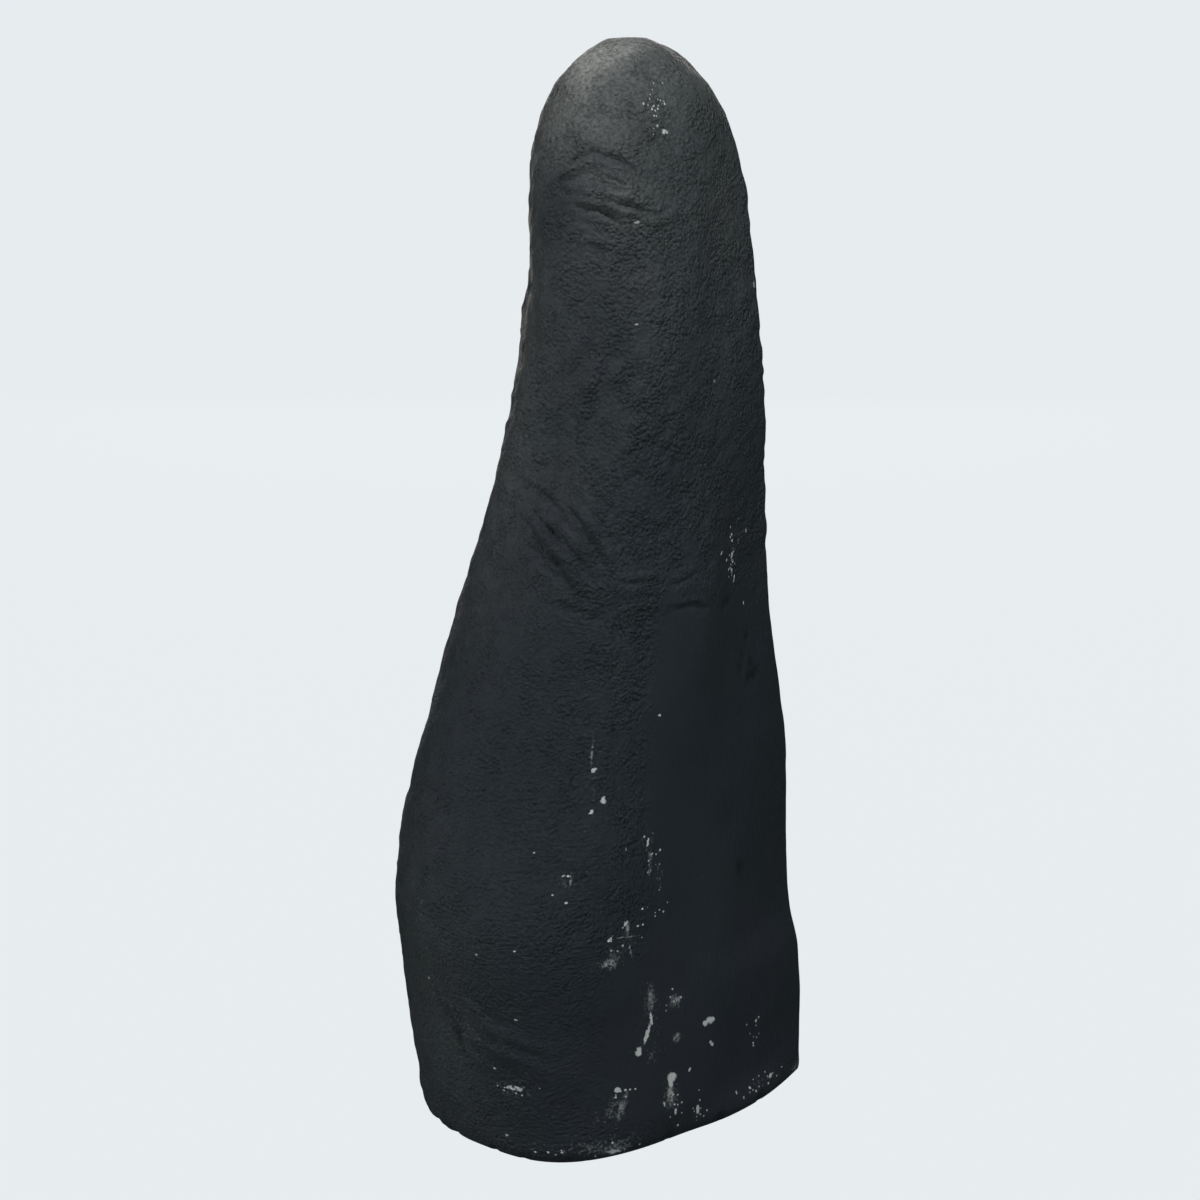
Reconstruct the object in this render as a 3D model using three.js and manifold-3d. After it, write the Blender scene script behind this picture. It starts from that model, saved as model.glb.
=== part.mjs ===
// A cathedral amethyst geode: a tall, narrow half-egg of rock, sawn open down its front, lined with amethyst
// and coated on the back with brushed cement that was painted matt charcoal.
// Millimetres, +Z up. The sawn front faces -Y, the rounded back +Y, and the part stands on its flat foot at z = 0,
// with the middle of its bounding box over the origin.
import * as THREE from "three";
import { mergeVertices } from "three/addons/utils/BufferGeometryUtils.js";
import Module from "manifold-3d";

const wasm = await Module();
wasm.setup();

// ---- Driving dimensions -------------------------------------------------------------------------------------

const HEIGHT = 520; // foot to crown
const DOME_HEIGHT = 92; // the crown closes over this much of the height
const DOME_POWER = 2.15; // 2 is an ellipse, more is squarer
const FOOT_LIP = 7; // the coat is rubbed round over this much above the ground
const FOOT_INSET = 0.03; // and the flat foot is this share smaller than the coat just above it

// The sawn front: where the saw plane meets the ground, and how far it leans back.
const FRONT_Y = -90;
const FRONT_LEAN = THREE.MathUtils.degToRad(2);

// The outside, at chosen heights: the middle of the section (x, y), its half width to each side, how far it
// reaches behind and in front of that middle, and how far the upright ridge at the back left stands proud.
const STATIONS = [
  { z: 0, x: 16.5, y: -22, side: 80, back: 95, front: 170, ridge: 8 },
  { z: 60, x: 20.5, y: -22, side: 83, back: 103, front: 170, ridge: 7 },
  { z: 110, x: 23.5, y: -22, side: 82.5, back: 109, front: 165, ridge: 6 },
  { z: 170, x: 22, y: -22, side: 79, back: 92, front: 150, ridge: 4 },
  { z: 230, x: 16.5, y: -22, side: 68.5, back: 76, front: 130, ridge: 2 },
  { z: 290, x: 8.5, y: -23, side: 59, back: 61, front: 115, ridge: 1 },
  { z: 345, x: 5, y: -27, side: 52.5, back: 52, front: 100, ridge: 0 },
  { z: 400, x: 5, y: -32, side: 47.5, back: 54, front: 85, ridge: 0 },
  { z: 450, x: 7.5, y: -36, side: 45.5, back: 53, front: 75, ridge: 0 },
  { z: 520, x: 10.5, y: -40, side: 45, back: 51, front: 60, ridge: 0 },
];
const SQUARE = { back: 2.1, front: 3 }; // how square the section is: 2 is an ellipse
const RIDGE = { angle: THREE.MathUtils.degToRad(110), spread: 0.32 };
const FLAT_SIDE = { angle: THREE.MathUtils.degToRad(156), spread: 0.36, share: 0.6 }; // the flatter coat beside it
const FOOT_SWELL = { angle: THREE.MathUtils.degToRad(205), spread: 0.5, top: 92, fade: 22, lift: 4 };

// The larger swellings and dents of the coat: the direction and height of each one's middle, its half widths in
// millimetres across and along, how far its length is turned from upright, and how far it stands out or sinks.
const RELIEF = [
  { angle: 108, z: 474, across: 9, along: 26, turn: 62, lift: 2 }, // folds under the crown
  { angle: 128, z: 448, across: 8, along: 30, turn: 70, lift: 2.2 },
  { angle: 112, z: 462, across: 7, along: 22, turn: 66, lift: -1.6 },
  { angle: 96, z: 430, across: 16, along: 30, turn: 20, lift: -1.6 },
  { angle: 104, z: 366, across: 13, along: 20, turn: 30, lift: 2.4 }, // trowelled lumps at half height
  { angle: 128, z: 346, across: 12, along: 24, turn: -20, lift: 1.6 },
  { angle: 84, z: 322, across: 12, along: 26, turn: 40, lift: -1.8 },
  { angle: 92, z: 296, across: 10, along: 34, turn: 48, lift: 2.2 }, // slanting folds above the belly
  { angle: 106, z: 276, across: 9, along: 26, turn: 52, lift: -2 },
  { angle: 150, z: 270, across: 8, along: 40, turn: 86, lift: 1.2 }, // the level crease beside them
  { angle: 130, z: 225, across: 10, along: 60, turn: 0, lift: 1.4 }, // a faint upright rib
  { angle: 84, z: 64, across: 12, along: 24, turn: 12, lift: -3 }, // the dent beside the foot
  { angle: 98, z: 58, across: 9, along: 24, turn: 60, lift: 1.8 },
  { angle: 40, z: 150, across: 30, along: 40, turn: 30, lift: 2 }, // the far side
  { angle: 20, z: 300, across: 18, along: 36, turn: -20, lift: -2 },
  { angle: 10, z: 400, across: 14, along: 26, turn: 35, lift: 1.8 },
  { angle: 62, z: 224, across: 16, along: 34, turn: -40, lift: -2 },
];
const RELIEF_RADIUS = 70; // the distance from the middle at which a direction is counted as a length
const FOOT_FADE = 20; // the coat's waves and relief come in over this much above the ground

// The hollow: the share of the section that the wall takes on each side, and the rock below and above it.
const WALL = { share: 0.25, floor: 46, roof: 26 };
const HOLLOW_FLOOR_ROUND = 46;
const HOLLOW_ROOF_ROUND = 84;
const HOLLOW_REACH = 40; // it is cut this far out through the saw plane
const MEAN_HOLLOW_RADIUS = 50;

// The crystal crust.
const CRUST_GAP = 0.35; // between the crust and the wall that it grew on
const CRUST_THICKNESS = 6;
const CRYSTALS = {
  tried: 3000, // places tried
  wide: 28, // radius of a crystal's foot where the geode is widest
  narrow: 18, // and where it is narrowest
  smaller: 0.3, // the last ones tried are this share smaller than the first
  spacing: 0.53, // least distance between two, as a share of their radii added up
  height: 0.8, // height over radius
  root: 0.6, // depth of the foot in the crust, as a share of its thickness
  lean: 0.15, // how far a tip stands off its axis, as a share of the radius
  tilt: 0.1, // how far they turn from square to the wall
};

// How finely the round forms are faceted.
const OUTSIDE_FACETS = { around: 48, up: 24, dome: 7 };
const HOLLOW_FACETS = { around: 24, up: 9, round: 4 };

const MIDDLE = { x: 21.3, y: 0.2 }; // the middle of the bounding box, which goes over the origin

// ---- Small helpers ------------------------------------------------------------------------------------------

// Steps that spread points evenly over a square, without rows.
const SCATTER = [0.7548776662, 0.569840291];

// A repeatable pseudo-random number from 0 to 1 for a whole number and a channel.
const chance = (i, channel) => {
  const s = Math.sin(i * 12.9898 + channel * 78.233) * 43758.5453;
  return s - Math.floor(s);
};

// Every value of the stations at height z, on one smooth curve through them (cubic Hermite, slopes from neighbours).
function sectionAt(z) {
  const last = STATIONS.length - 1;
  let i = STATIONS.findIndex((s) => s.z > z) - 1;
  if (i < 0) i = z < STATIONS[0].z ? 0 : last - 1;
  const [a, b] = [STATIONS[i], STATIONS[i + 1]];
  const before = STATIONS[Math.max(i - 1, 0)];
  const after = STATIONS[Math.min(i + 2, last)];
  const span = b.z - a.z;
  const t = THREE.MathUtils.clamp((z - a.z) / span, 0, 1);
  const made = {};
  for (const key of ["x", "y", "side", "back", "front", "ridge"]) {
    const slopeA = ((b[key] - before[key]) / (b.z - before.z)) * span;
    const slopeB = ((after[key] - a[key]) / (after.z - a.z)) * span;
    made[key] =
      (2 * t ** 3 - 3 * t ** 2 + 1) * a[key] +
      (t ** 3 - 2 * t ** 2 + t) * slopeA +
      (3 * t ** 2 - 2 * t ** 3) * b[key] +
      (t ** 3 - t ** 2) * slopeB;
  }
  return made;
}

// The reach of a superellipse in the direction angle (0 is +X, a quarter turn is +Y, the back).
function reach(angle, side, back, front) {
  const behind = Math.sin(angle) > 0;
  const power = behind ? SQUARE.back : SQUARE.front;
  const along = Math.abs(Math.cos(angle)) / side;
  const deep = Math.abs(Math.sin(angle)) / (behind ? back : front);
  return (along ** power + deep ** power) ** (-1 / power);
}

// 1 at an angle and falling away smoothly on both sides of it.
function near(angle, { angle: middle, spread }) {
  const turn = Math.atan2(Math.sin(angle - middle), Math.cos(angle - middle));
  return Math.exp(-((turn / spread) ** 2));
}

const frontY = (z) => FRONT_Y + z * Math.tan(FRONT_LEAN);

// A closed surface of revolution whose vertices are then moved by place(angle, rho, z). The outline runs from the
// axis at the bottom to the axis at the top, with rho, its share of the full section, as its radius.
function formed(outline, around, place) {
  const g = new THREE.LatheGeometry(
    outline.map(([rho, z]) => new THREE.Vector2(rho, z)),
    around,
  );
  const p = g.getAttribute("position");
  for (let i = 0; i < p.count; i++) {
    const [x, z, y] = [p.getX(i), p.getY(i), -p.getZ(i)];
    const rho = Math.hypot(x, y);
    const v = place(Math.atan2(y, x), rho < 1e-6 ? 0 : rho, z);
    p.setXYZ(i, v.x, v.y, v.z);
  }
  return g;
}

function solidOf(geometry) {
  const bare = geometry.clone();
  bare.deleteAttribute("normal");
  bare.deleteAttribute("uv");
  const merged = mergeVertices(bare, 1e-3);
  return new wasm.Manifold(
    new wasm.Mesh({
      numProp: 3,
      vertProperties: merged.getAttribute("position").array,
      triVerts: new Uint32Array(merged.index.array),
    }),
  );
}

// The outer skin of the largest body in a solid, which fills the pockets that crystals close off between them.
const largestBody = (solid) => solid.decompose().reduce((a, b) => (a.volume() > b.volume() ? a : b));

function geometryOf(solid) {
  const m = solid.getMesh();
  const g = new THREE.BufferGeometry();
  g.setAttribute("position", new THREE.BufferAttribute(new Float32Array(m.vertProperties), 3));
  g.setIndex(new THREE.BufferAttribute(new Uint32Array(m.triVerts), 1));
  g.computeVertexNormals();
  return g;
}

// ---- The outside --------------------------------------------------------------------------------------------

// Low waves of the hand-laid coat, in millimetres.
function waves(angle, z) {
  return (
    1.6 * Math.sin(3 * angle + z / 47) +
    1.1 * Math.sin(5 * angle - z / 31 + 1.3) +
    0.9 * Math.sin(2 * angle + z / 23 + 4)
  );
}

// The swellings and dents, each a smooth mound with an oval foot.
function relief(angle, z) {
  let sum = 0;
  for (const r of RELIEF) {
    const turned = angle - THREE.MathUtils.degToRad(r.angle);
    const side = RELIEF_RADIUS * Math.atan2(Math.sin(turned), Math.cos(turned));
    const [c, s] = [Math.cos(THREE.MathUtils.degToRad(r.turn)), Math.sin(THREE.MathUtils.degToRad(r.turn))];
    const across = side * c + (z - r.z) * s;
    const along = (z - r.z) * c - side * s;
    sum += r.lift * Math.exp(-((across / r.across) ** 2) - (along / r.along) ** 2);
  }
  return sum;
}

function outsidePoint(angle, rho, z) {
  const s = sectionAt(z);
  const fade = THREE.MathUtils.smoothstep(z, 0, FOOT_FADE);
  const swell = 1 - THREE.MathUtils.smoothstep(z, FOOT_SWELL.top - FOOT_SWELL.fade, FOOT_SWELL.top);
  const r =
    reach(angle, s.side, s.back, s.front) +
    s.ridge * (near(angle, RIDGE) - FLAT_SIDE.share * near(angle, FLAT_SIDE)) +
    FOOT_SWELL.lift * swell * near(angle, FOOT_SWELL) +
    fade * (waves(angle, z) + relief(angle, z));
  return new THREE.Vector3(s.x + rho * r * Math.cos(angle), s.y + rho * r * Math.sin(angle), z);
}

// The outside's outline: the flat foot, its rounded lip, the straight rows and the dome.
function outsideOutline() {
  const base = HEIGHT - DOME_HEIGHT;
  const outline = [
    [0, 0],
    [1 - FOOT_INSET, 0],
    [1 - FOOT_INSET / 4, FOOT_LIP / 3],
    [1, FOOT_LIP],
  ];
  for (let i = 1; i <= OUTSIDE_FACETS.up; i++) {
    outline.push([1, FOOT_LIP + ((base - FOOT_LIP) * i) / OUTSIDE_FACETS.up]);
  }
  for (let i = 1; i < OUTSIDE_FACETS.dome; i++) {
    const t = Math.sin((i / OUTSIDE_FACETS.dome) * (Math.PI / 2));
    outline.push([(1 - t ** DOME_POWER) ** (1 / DOME_POWER), base + DOME_HEIGHT * t]);
  }
  outline.push([0, HEIGHT]);
  return outline;
}

// Everything in front of the saw plane, as one big block.
function sawnAway() {
  const size = 3 * HEIGHT;
  const block = new THREE.BoxGeometry(size, size, size);
  block.translate(0, -size / 2, 0);
  block.rotateX(-FRONT_LEAN);
  block.translate(0, FRONT_Y, 0);
  return solidOf(block);
}

// ---- The hollow ---------------------------------------------------------------------------------------------

// The hollow's outline in share of section and height, drawn in by inset.
function hollowOutline(inset) {
  const [low, high] = [WALL.floor + inset, HEIGHT - WALL.roof - inset];
  const [floor, roof] = [low + HOLLOW_FLOOR_ROUND, high - HOLLOW_ROOF_ROUND];
  const outline = [[0, low]];
  for (let i = 1; i <= HOLLOW_FACETS.round; i++) {
    const t = (i / HOLLOW_FACETS.round) * (Math.PI / 2);
    outline.push([Math.sin(t), floor - HOLLOW_FLOOR_ROUND * Math.cos(t)]);
  }
  for (let i = 1; i <= HOLLOW_FACETS.up; i++) {
    outline.push([1, floor + ((roof - floor) * i) / HOLLOW_FACETS.up]);
  }
  for (let i = 1; i < HOLLOW_FACETS.round; i++) {
    const t = (i / HOLLOW_FACETS.round) * (Math.PI / 2);
    outline.push([Math.cos(t), roof + HOLLOW_ROOF_ROUND * Math.sin(t)]);
  }
  outline.push([0, high]);
  return outline;
}

function hollowPoint(angle, rho, z, inset) {
  const s = sectionAt(z);
  const kept = 1 - WALL.share;
  const r = reach(angle, s.side * kept - inset, s.back * kept - inset, s.y - frontY(z) + HOLLOW_REACH);
  return new THREE.Vector3(s.x + rho * r * Math.cos(angle), s.y + rho * r * Math.sin(angle), z);
}

const hollow = (inset) =>
  solidOf(
    formed(hollowOutline(inset), HOLLOW_FACETS.around, (angle, rho, z) =>
      hollowPoint(angle, rho, z, inset),
    ),
  );

// ---- The crystals -------------------------------------------------------------------------------------------

// A point on the hollow's wall, for a turn round it and a share of the way up its outline, with the way inwards.
function wallPoint(turn, share, inset) {
  const outline = hollowOutline(inset);
  const lengths = outline.slice(1).map(([rho, z], i) => {
    const [rhoBefore, zBefore] = outline[i];
    return Math.hypot((rho - rhoBefore) * MEAN_HOLLOW_RADIUS, z - zBefore);
  });
  let left = share * lengths.reduce((a, b) => a + b);
  let i = 0;
  while (i < lengths.length - 1 && left > lengths[i]) left -= lengths[i++];
  const [a, b] = [outline[i], outline[i + 1]];
  const at = (turned, moved) => {
    const t = left / lengths[i] + moved;
    const rho = Math.max(a[0] + (b[0] - a[0]) * t, 0);
    return hollowPoint(turn * 2 * Math.PI + turned, rho, a[1] + (b[1] - a[1]) * t, inset);
  };
  const step = 0.02;
  const around = at(step, 0).sub(at(-step, 0));
  const up = at(0, step).sub(at(0, -step));
  return { here: at(0, 0), inward: up.cross(around).normalize() };
}

// One amethyst point on the +Z axis: a six-sided pyramid whose tip is off its axis, so that its faces differ in size.
function crystalPoint(radius, height, root, lean) {
  const g = new THREE.LatheGeometry(
    [new THREE.Vector2(0, -root), new THREE.Vector2(radius, -root), new THREE.Vector2(0, height)],
    6,
  );
  g.rotateX(Math.PI / 2);
  const p = g.getAttribute("position");
  for (let i = 0; i < p.count; i++) {
    if (p.getZ(i) > height / 2) p.setXY(i, p.getX(i) + lean.x, p.getY(i) + lean.y);
  }
  return g;
}

// Where the crystals grow: an even scatter over the wall, thinned so that each keeps its distance from the others.
function crystalSites() {
  const c = CRYSTALS;
  const sides = STATIONS.map((s) => s.side);
  const [narrowest, widest] = [Math.min(...sides), Math.max(...sides)];
  const sites = [];
  for (let i = 0; i < c.tried; i++) {
    const turn = (i * SCATTER[0]) % 1;
    const share = (i * SCATTER[1]) % 1;
    const { here, inward } = wallPoint(turn, share, CRUST_GAP + CRUST_THICKNESS);
    const full = THREE.MathUtils.mapLinear(sectionAt(here.z).side, narrowest, widest, c.narrow, c.wide);
    const radius = full * (1 - c.smaller * Math.sqrt(i / c.tried)) * (0.85 + 0.3 * chance(i, 1));
    if (here.y < frontY(here.z) - radius / 3) continue;
    if (sites.some((s) => s.here.distanceTo(here) < c.spacing * (s.radius + radius))) continue;
    sites.push({ i, here, inward, radius });
  }
  return sites;
}

function crystals() {
  const c = CRYSTALS;
  const up = new THREE.Vector3(0, 0, 1);
  return crystalSites().map(({ i, here, inward, radius }) => {
    const height = radius * c.height * (0.8 + 0.5 * chance(i, 2));
    const lean = new THREE.Vector2(chance(i, 3) - 0.5, chance(i, 4) - 0.5).multiplyScalar(2 * c.lean * radius);
    const wander = new THREE.Vector3(chance(i, 5) - 0.5, chance(i, 6) - 0.5, chance(i, 7) - 0.5);
    const way = inward.clone().addScaledVector(wander, 2 * c.tilt).normalize();
    const g = crystalPoint(radius, height, CRUST_THICKNESS * c.root, lean);
    g.rotateZ(chance(i, 8) * Math.PI);
    g.applyQuaternion(new THREE.Quaternion().setFromUnitVectors(up, way));
    g.translate(here.x, here.y, here.z);
    return solidOf(g);
  });
}

// ---- The two pieces -----------------------------------------------------------------------------------------

const front = sawnAway();

const shell = solidOf(formed(outsideOutline(), OUTSIDE_FACETS.around, outsidePoint))
  .subtract(hollow(0))
  .subtract(front);

const layer = hollow(CRUST_GAP).subtract(hollow(CRUST_GAP + CRUST_THICKNESS));
const grown = wasm.Manifold.union(crystals()).intersect(hollow(CRUST_GAP + CRUST_THICKNESS / 2));
const crust = largestBody(layer.add(grown).subtract(front));

const painted = new THREE.MeshStandardMaterial({ color: 0x23292b, roughness: 0.8, metalness: 0 });
const amethyst = new THREE.MeshStandardMaterial({ color: 0x5b3a8c, roughness: 0.15, metalness: 0 });

const geode = new THREE.Group();
for (const [name, solid, material] of [
  ["geode_shell", shell, painted],
  ["amethyst_crystals", crust, amethyst],
]) {
  const mesh = new THREE.Mesh(geometryOf(solid), material);
  mesh.name = name;
  geode.add(mesh);
}

geode.position.set(-MIDDLE.x, -MIDDLE.y, 0);

export default geode;
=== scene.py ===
# A cathedral amethyst geode: the tall half-egg of rock stands with its hand-brushed, charcoal-painted
# cement coat to the back and its sawn, polished front and crystal hollow to the front.
# Shapes are worked out in millimetres, in the frame in which the stations below are given, and are moved to
# the part's own frame, in metres, when they become a mesh.
import math
from contextlib import contextmanager
from itertools import product

import bmesh
import bpy
import numpy as np
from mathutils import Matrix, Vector
from mathutils.geometry import delaunay_2d_cdt


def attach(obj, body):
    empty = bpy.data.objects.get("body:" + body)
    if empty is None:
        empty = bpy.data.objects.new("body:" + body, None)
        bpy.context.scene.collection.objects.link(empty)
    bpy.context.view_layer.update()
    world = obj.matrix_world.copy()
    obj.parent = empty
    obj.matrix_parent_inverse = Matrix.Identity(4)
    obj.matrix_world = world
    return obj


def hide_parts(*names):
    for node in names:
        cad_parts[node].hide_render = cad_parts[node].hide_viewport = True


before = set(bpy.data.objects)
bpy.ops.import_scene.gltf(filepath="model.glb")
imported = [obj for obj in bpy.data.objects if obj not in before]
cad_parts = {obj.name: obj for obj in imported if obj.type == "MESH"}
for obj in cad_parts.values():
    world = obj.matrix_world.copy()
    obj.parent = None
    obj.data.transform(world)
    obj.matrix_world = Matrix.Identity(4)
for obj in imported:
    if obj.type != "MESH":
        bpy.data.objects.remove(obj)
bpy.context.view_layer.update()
SCENE = bpy.context.scene

# ---- Driving dimensions, the same as the solids' -------------------------------------------------

METRE = 1000  # millimetres
MM = 1 / METRE
QUARTER = math.pi / 2
HEIGHT = 520
DOME_HEIGHT, DOME_POWER = 92, 2.15
FOOT_LIP, FOOT_INSET = 7, 0.03
FRONT_Y, FRONT_LEAN = -90, math.radians(2)
STATIONS = np.array([  # height, middle x and y, half width, reach behind and in front, ridge
    (0, 16.5, -22, 80, 95, 170, 8),
    (60, 20.5, -22, 83, 103, 170, 7),
    (110, 23.5, -22, 82.5, 109, 165, 6),
    (170, 22, -22, 79, 92, 150, 4),
    (230, 16.5, -22, 68.5, 76, 130, 2),
    (290, 8.5, -23, 59, 61, 115, 1),
    (345, 5, -27, 52.5, 52, 100, 0),
    (400, 5, -32, 47.5, 54, 85, 0),
    (450, 7.5, -36, 45.5, 53, 75, 0),
    (520, 10.5, -40, 45, 51, 60, 0),
], float)
SQUARE_BACK, SQUARE_FRONT = 2.1, 3.0
# Swellings of the section: the direction of each and the half width of its bell curve, in radians
RIDGE = (math.radians(110), 0.32)
FLAT_SIDE, FLAT_SHARE = (math.radians(156), 0.36), 0.6
FOOT_SWELL, SWELL_TOP, SWELL_FADE, SWELL_LIFT = (math.radians(205), 0.5), 92, 22, 4
WAVES = [  # lift, waves in a turn, rise in a radian, start
    (1.6, 3, 47, 0), (1.1, 5, -31, 1.3), (0.9, 2, 23, 4),
]
RELIEF_RADIUS = 70
RELIEF = [  # angle, height, half width across and along, turn from upright, lift
    (108, 474, 9, 26, 62, 2), (128, 448, 8, 30, 70, 2.2), (112, 462, 7, 22, 66, -1.6),
    (96, 430, 16, 30, 20, -1.6), (104, 366, 13, 20, 30, 2.4), (128, 346, 12, 24, -20, 1.6),
    (84, 322, 12, 26, 40, -1.8), (92, 296, 10, 34, 48, 2.2), (106, 276, 9, 26, 52, -2),
    (150, 270, 8, 40, 86, 1.2), (130, 225, 10, 60, 0, 1.4), (84, 64, 12, 24, 12, -3),
    (98, 58, 9, 24, 60, 1.8), (40, 150, 30, 40, 30, 2), (20, 300, 18, 36, -20, -2),
    (10, 400, 14, 26, 35, 1.8), (62, 224, 16, 34, -40, -2),
]
FOOT_FADE = 20
WALL_SHARE, WALL_FLOOR, WALL_ROOF = 0.25, 46, 26
FLOOR_ROUND, ROOF_ROUND = 46, 84
HOLLOW_REACH, MEAN_HOLLOW_RADIUS = 40, 50
CRUST_THICKNESS = 6.35  # from the rock to the face of the crust between the crystals
MIDDLE = np.array([21.3, 0.2, 0])
SCATTER = (0.7548776662, 0.569840291)
TINY = 1e-9  # keeps a division from one by zero


def smoothstep(value, low, high):
    """0 up to low and 1 from high on, and 3 t squared less 2 t cubed between them."""
    t = np.clip((value - low) / (high - low), 0, 1)
    return t * t * (3 - 2 * t)


def between(value, rise, risen, fall, fallen):
    """A smoothstep up from rise to risen, and one down again from fall to fallen."""
    return smoothstep(value, rise, risen) * (1 - smoothstep(value, fall, fallen))


def section_at(z):
    """Middle x and y, half width, reach behind and in front, and ridge at each height: cubic Hermite curves
    through the stations, with slopes from their neighbours."""
    heights, values = STATIONS[:, 0], STATIONS[:, 1:]
    last = len(heights) - 1
    i = np.clip(np.searchsorted(heights, z, side="right") - 1, 0, last - 1)
    before, after = np.maximum(i - 1, 0), np.minimum(i + 2, last)
    span = (heights[i + 1] - heights[i])[..., None]
    t = np.clip((z[..., None] - heights[i][..., None]) / span, 0, 1)
    slope_a = (values[i + 1] - values[before]) / (heights[i + 1] - heights[before])[..., None] * span
    slope_b = (values[after] - values[i]) / (heights[after] - heights[i])[..., None] * span
    made = ((2 * t**3 - 3 * t**2 + 1) * values[i] + (t**3 - 2 * t**2 + t) * slope_a
            + (3 * t**2 - 2 * t**3) * values[i + 1] + (t**3 - t**2) * slope_b)
    return np.moveaxis(made, -1, 0)


def reach(angle, side, back, front):
    """How far a superellipse reaches in a direction, with its own reach and squareness before and
    behind."""
    behind = np.sin(angle) > 0
    power = np.where(behind, SQUARE_BACK, SQUARE_FRONT)
    along = np.abs(np.cos(angle)) / side
    deep = np.abs(np.sin(angle)) / np.where(behind, back, front)
    return (along**power + deep**power) ** (-1 / power)


def turned(angle, middle):
    """The turn from one direction to another, between minus and plus half a turn."""
    return np.arctan2(np.sin(angle - middle), np.cos(angle - middle))


def near(angle, bump):
    """1 at a direction, and a bell curve away from it."""
    return np.exp(-((turned(angle, bump[0]) / bump[1]) ** 2))


def front_y(z):
    """Where the sawn plane lies at each height: it leans back as it rises."""
    return FRONT_Y + z * math.tan(FRONT_LEAN)


def round_section(x, y, rho, radius, angle, z):
    """Points at a share rho of the radius from the section's middle, in a direction and at a height."""
    return np.stack([x + rho * radius * np.cos(angle), y + rho * radius * np.sin(angle), z + 0 * angle], -1)


def mounds(angle, z, rows):
    """The sum of smooth mounds with oval feet: each is its lift times a bell curve of the distance across
    and along it, with directions counted as lengths at RELIEF_RADIUS."""
    total = np.zeros(np.broadcast(angle, z).shape)
    for at, height, across, along, turn, lift in rows:
        side = RELIEF_RADIUS * turned(angle, math.radians(at))
        c, s = math.cos(math.radians(turn)), math.sin(math.radians(turn))
        over = side * c + (z - height) * s
        up = (z - height) * c - side * s
        total += lift * np.exp(-((over / across) ** 2) - (up / along) ** 2)
    return total


def outside(angle, rho, z):
    """The coat: the section's superellipse, with the ridge, the flatter side, the foot's swelling, low
    waves (three sines of angle and height) and the mounds added to its radius, which the outline's share
    rho then scales."""
    x, y, side, back, front, ridge = section_at(z)
    swell = 1 - smoothstep(z, SWELL_TOP - SWELL_FADE, SWELL_TOP)
    waves = sum(lift * np.sin(count * angle + z / rise + start) for lift, count, rise, start in WAVES)
    ridged = ridge * (near(angle, RIDGE) - FLAT_SHARE * near(angle, FLAT_SIDE))
    radius = (reach(angle, side, back, front) + ridged + SWELL_LIFT * swell * near(angle, FOOT_SWELL)
              + smoothstep(z, 0, FOOT_FADE) * (waves + mounds(angle, z, RELIEF)))
    return round_section(x, y, rho, radius, angle, z)


def hollow(inset):
    """The hollow's wall, drawn in by inset, as a function: the section's superellipse less the wall."""
    def place(angle, rho, z):
        """The wall's points, at a direction, a share of the section and a height."""
        x, y, side, back, *_ = section_at(z)
        kept = 1 - WALL_SHARE
        radius = reach(angle, side * kept - inset, back * kept - inset, y - front_y(z) + HOLLOW_REACH)
        return round_section(x, y, rho, radius, angle, z)
    return place


LIP_POINTS, DOME_POINTS = 40, 160


def coat_outline():
    """Share of the section and height up the coat: the foot's lip, the upright part and the dome."""
    t = np.linspace(0, QUARTER, LIP_POINTS)
    lip = np.stack([1 - FOOT_INSET * (1 - np.sin(t)), FOOT_LIP * (1 - np.cos(t))], 1)
    base = HEIGHT - DOME_HEIGHT
    t = np.sin(np.linspace(0, QUARTER, DOME_POINTS))
    dome = np.stack([(1 - t**DOME_POWER) ** (1 / DOME_POWER), base + DOME_HEIGHT * t], 1)
    return np.concatenate([lip, dome])


def hollow_outline(inset, rounds, straights):
    """Share of the section and height up the hollow: a round floor, the upright part and a round roof."""
    low, high = WALL_FLOOR + inset, HEIGHT - WALL_ROOF - inset
    floor, roof = low + FLOOR_ROUND, high - ROOF_ROUND
    t = np.linspace(0, QUARTER, rounds + 1)
    return np.concatenate([
        np.stack([np.sin(t), floor - FLOOR_ROUND * np.cos(t)], 1),
        np.stack([np.ones(straights), floor + (roof - floor) * np.arange(1, straights + 1) / straights], 1),
        np.stack([np.cos(t[1:]), roof + ROOF_ROUND * np.sin(t[1:])], 1),
    ])


def length_along(outline):
    """How far each point of an outline lies from its start, at the hollow's mean radius."""
    rho, z = outline.T
    return np.concatenate([[0], np.cumsum(np.hypot(np.diff(rho) * MEAN_HOLLOW_RADIUS, np.diff(z)))])


# Large odd numbers, which spread the hash well
HASH_STEPS, HASH_MIX = np.array([374761393, 668265263, 1274126177]), 1103515245
SEED_SHIFT, SEED_STEP, HASH_HALF = 7.31, 144665, 32767.5


def noise(p, size, seed):
    """Smooth random values from -1 to 1: a random value at each corner of a lattice of that size, blended
    with the smoothstep's curve. A corner's value is a hash of its three whole numbers and the seed."""
    q = np.asarray(p, float) / size + seed * SEED_SHIFT
    cell = np.floor(q).astype(np.int64)
    f = q - cell
    f = f * f * (3 - 2 * f)
    total = 0
    for corner in np.array(list(product((0, 1), repeat=3))):
        n = ((cell + corner) * HASH_STEPS).sum(-1) + seed * SEED_STEP
        n = (n ^ (n >> 13)) * HASH_MIX
        share = np.prod(np.where(corner == 1, f, 1 - f), -1)
        total = total + share * (((n ^ (n >> 16)) & 0xFFFF) / HASH_HALF - 1)
    return total


# ---- Surfaces that end at the saw plane ----------------------------------------------------------

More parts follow.
